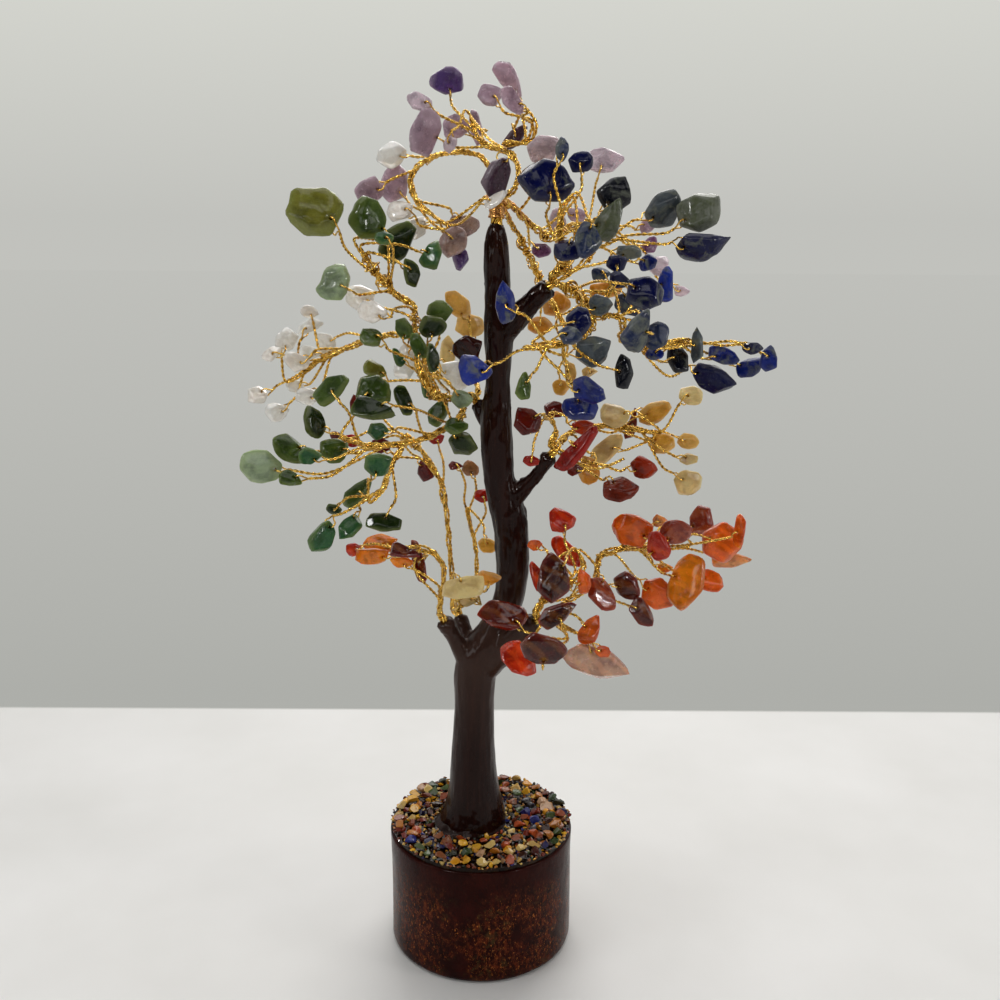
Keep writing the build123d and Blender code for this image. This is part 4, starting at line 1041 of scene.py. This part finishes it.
trunk_mesh.name = "trunk_moulding"
TRUNK = trunk_material()
add_piece("trunk_moulding", trunk_mesh, "tree", TRUNK, ("trunk",))

# Base: a turned block, slightly out of true, under thick lacquer
WOBBLE = 0.22
low, high = box_of("base_block")
R, H = (high[0] - low[0]) / 2, high[2]
profile = [(0.01, 0.25), (R * 0.5, 0.12), (R - 2.2, 0.0), (R - 1.0, 0.15), (R - 0.3, 0.7), (R - 0.05, 1.6)]
profile += [(R - 0.05 - 0.12 * math.sin(math.pi * t / 14), 1.6 + (H - 3.4) * t / 14) for t in range(1, 15)]
profile += [(R - 0.05, H - 1.2), (R - 0.05, H - 0.4), (R - 0.16, H - 0.12), (R - 0.42, H), (R * 0.6, H), (6.2, H),
            (6.0, H - 0.3), (5.8, H - 9)]


def base_section(turn):
    x, y = math.cos(turn) * 1.3, math.sin(turn) * 1.3
    return [(radius - WOBBLE * (0.5 + ripples((x, y, z * 0.05), 1.0, 2)) * (radius > 1), z) for radius, z in profile]


lathe("base_lacquered", "base_block", "base", base_material(), 160, base_section)

# Set resin and the putty collar round the trunk's foot
nodes["resin_bed"].data.materials.clear()
nodes["resin_bed"].data.materials.append(resin_material())
COLLAR_ROWS, COLLAR_INSIDE = 15, 5.9
collar_low, collar_high = box_of("foot_collar")
collar_middle = (collar_low + collar_high) / 2


def mound(turn):
    """How far the putty round the trunk's foot reaches: widest to the front left."""
    ripple = ripples((math.cos(turn) * 1.4, math.sin(turn) * 1.4, 4))
    reach = (collar_high[0] - collar_low[0]) / 2
    return reach * (0.84 + 0.12 * math.cos(turn - math.radians(235)) + 0.05 * ripple)


def collar_section(turn):
    """A lumpy slope from the putty's edge up to the trunk."""
    tall = collar_high[2] - collar_low[2]
    swell = 0.5 + ripples(Vector((math.cos(turn) * 1.1, math.sin(turn) * 1.1, 0)) * 1.6 + Vector((3, 1, 5)))
    rows = []
    for share in (row / (COLLAR_ROWS - 1) for row in range(COLLAR_ROWS)):
        reach = mound(turn) + (COLLAR_INSIDE - mound(turn)) * share
        rise = tall * (0.42 + 0.5 * swell) * math.sin(math.pi / 2 * min(share * 1.3, 1))
        rise += tall * 0.12 * noise.noise(Vector((reach * math.cos(turn), reach * math.sin(turn), 0)) * 0.7)
        rows.append((reach, min(max(collar_low[2] + rise, collar_low[2]), collar_high[2])))
    return rows


lathe("foot_collar_putty", "foot_collar", "trunk", TRUNK, 96, collar_section)

# Gravel: crushed stone, each grain cut by its own flat breaks. The frame's grains come first, then the large
# ones that the photograph shows (colour, place and half size), then small ones wherever there is room
GRAVEL = {"ochre": [(206, 138, 26), (216, 160, 44), (158, 92, 16)], "cream": [(204, 172, 100), (180, 144, 76)],
          "orange": [(160, 66, 26), (128, 56, 26)], "maroon": [(70, 14, 12), (104, 24, 16), (44, 10, 10)],
          "navy": [(14, 20, 74), (10, 12, 36), (26, 40, 116)], "green": [(30, 56, 26), (64, 80, 40), (18, 30, 18)],
          "clear": [(176, 134, 98), (128, 74, 46), (96, 40, 28)]}
LARGE = [("clear", 18.4, 6.0, 3.6, 2.5, 1.0), ("ochre", 20.9, -4.6, 3.4, 2.2, 1.1),
         ("orange", 22.6, 1.2, 2.6, 1.7, 1.2), ("ochre", -19.8, 2.0, 2.5, 1.7, 1.1),
         ("ochre", -18.8, -11.0, 2.3, 1.6, 1.1), ("cream", 14.5, -15.6, 2.1, 1.4, 1.0),
         ("ochre", 18.9, -10.6, 2.2, 1.5, 1.0), ("orange", 14.6, -9.0, 2.0, 1.4, 1.0),
         ("maroon", -13.0, 6.0, 2.0, 1.4, 1.0), ("ochre", 17.0, 10.5, 2.1, 1.4, 1.0),
         ("cream", 8.5, -18.8, 2.1, 1.3, 1.0), ("green", 4.4, -17.6, 2.6, 1.0, 0.9),
         ("ochre", -21.0, 8.0, 2.2, 1.7, 1.2), ("cream", -16.5, 15.0, 2.3, 1.6, 1.2),
         ("navy", 12.6, 1.5, 1.7, 1.5, 1.2), ("ochre", -22.6, -6.0, 2.1, 1.5, 1.1),
         ("cream", -14.0, -14.5, 2.0, 1.2, 1.0), ("maroon", -8.0, -16.0, 1.8, 1.2, 0.9),
         ("ochre", -3.5, -21.8, 1.9, 1.2, 0.9)]
SMALL = ["ochre"] * 3 + ["cream"] * 2 + ["orange"] + ["maroon"] * 2 + ["navy", "green"] + ["clear"] * 2
TRIALS, LARGER_TRIALS = 5200, 1500
GRAIN = gravel_material()
ball = bmesh.new()
bmesh.ops.create_icosphere(ball, subdivisions=2, radius=1.0)
BALL = np.array([v.co for v in ball.verts])
BALL_FACES = [tuple(v.index for v in face.verts) for face in ball.faces]
ball.free()


def crushed(centre, size, seed):
    """One crushed grain: a ball cut by flat breaks, stretched and turned."""
    body = BALL
    for cut in range(8):
        way = unit(np.array([steady(seed * value + cut, -1, 1) for value in (1.3, 2.1, 3.7)]))
        body = ground_off(body, way, steady(seed * 0.9 + cut * 1.9, 0.28, 0.62))
    body = body / np.abs(body).max(0) * size
    turn = steady(seed + 0.77, 0, TURN)
    spin = np.array([[math.cos(turn), -math.sin(turn), 0], [math.sin(turn), math.cos(turn), 0], [0, 0, 1]])
    return body @ spin.T + centre


low, high = box_of("resin_bed")
bed_middle, bed_top = (low + high) / 2, high[2]
taken = []
grains = {colour: [] for colour in GRAVEL}
for colour, rows in grains.items():
    for points, triangles in solids_of("gravel_" + colour):
        low, high = points.min(0), points.max(0)
        middle, half = (low + high) / 2, (high - low) / 2
        rows.append((middle, half * np.array([1.04, 1.04, 1.0])))
        taken.append((middle[0], middle[1], half[:2].mean()))
for colour, x, y, long, wide, tall in LARGE:
    grains[colour].append((np.array([x, y, bed_top + tall * 1.2]), np.array([long, wide, tall])))
    taken.append((x, y, wide))
for trial in range(TRIALS):
    angle = steady(trial * 1.01 + 0.1, 0, TURN)
    reach = R * math.sqrt(steady(trial * 1.37 + 0.5))
    x, y = bed_middle[0] + reach * math.cos(angle), bed_middle[1] + reach * math.sin(angle)
    size = steady(trial * 0.71 + 0.9, 0.45, 1.6 if trial < LARGER_TRIALS else 0.8)
    across, deep = x - collar_middle[0], y - collar_middle[1]
    if math.hypot(across, deep) < mound(math.atan2(deep, across)) + size * 0.5:
        continue
    if math.hypot(x - bed_middle[0], y - bed_middle[1]) > R + 0.25 - size:
        continue
    if any((x - a) ** 2 + (y - b) ** 2 < (size * 0.7 + c * 0.62) ** 2 for a, b, c in taken):
        continue
    taken.append((x, y, size))
    tall = size * steady(trial + 0.2, 0.5, 0.85)
    colour = SMALL[int(steady(trial * 0.53 + 0.4, 0, len(SMALL) - 0.001))]
    grains[colour].append((np.array([x, y, bed_top + tall * 0.7]),
                           np.array([size, size * steady(trial + 0.6, 0.6, 0.95), tall])))
for colour, rows in grains.items():
    verts, faces, tones = [], [], []
    for index, (middle, half) in enumerate(rows):
        seed = index * 1.7 + 13 * len(colour)
        verts.append(crushed(middle, half, seed))
        faces += [tuple(len(BALL) * index + corner for corner in face) for face in BALL_FACES]
        pick = GRAVEL[colour][int(steady(seed, 0, len(GRAVEL[colour]) - 0.001))]
        tint = [min(value * steady(seed + 0.5, 0.8, 1.15), 1) for value in shade(*pick)]
        tones.append(np.tile([*tint, 1], (len(BALL), 1)))
    make_piece(f"gravel_{colour}_grains", "tree", np.vstack(verts), faces, GRAIN, f"gravel_{colour}",
               (f"gravel_{colour}",), tone=np.vstack(tones))
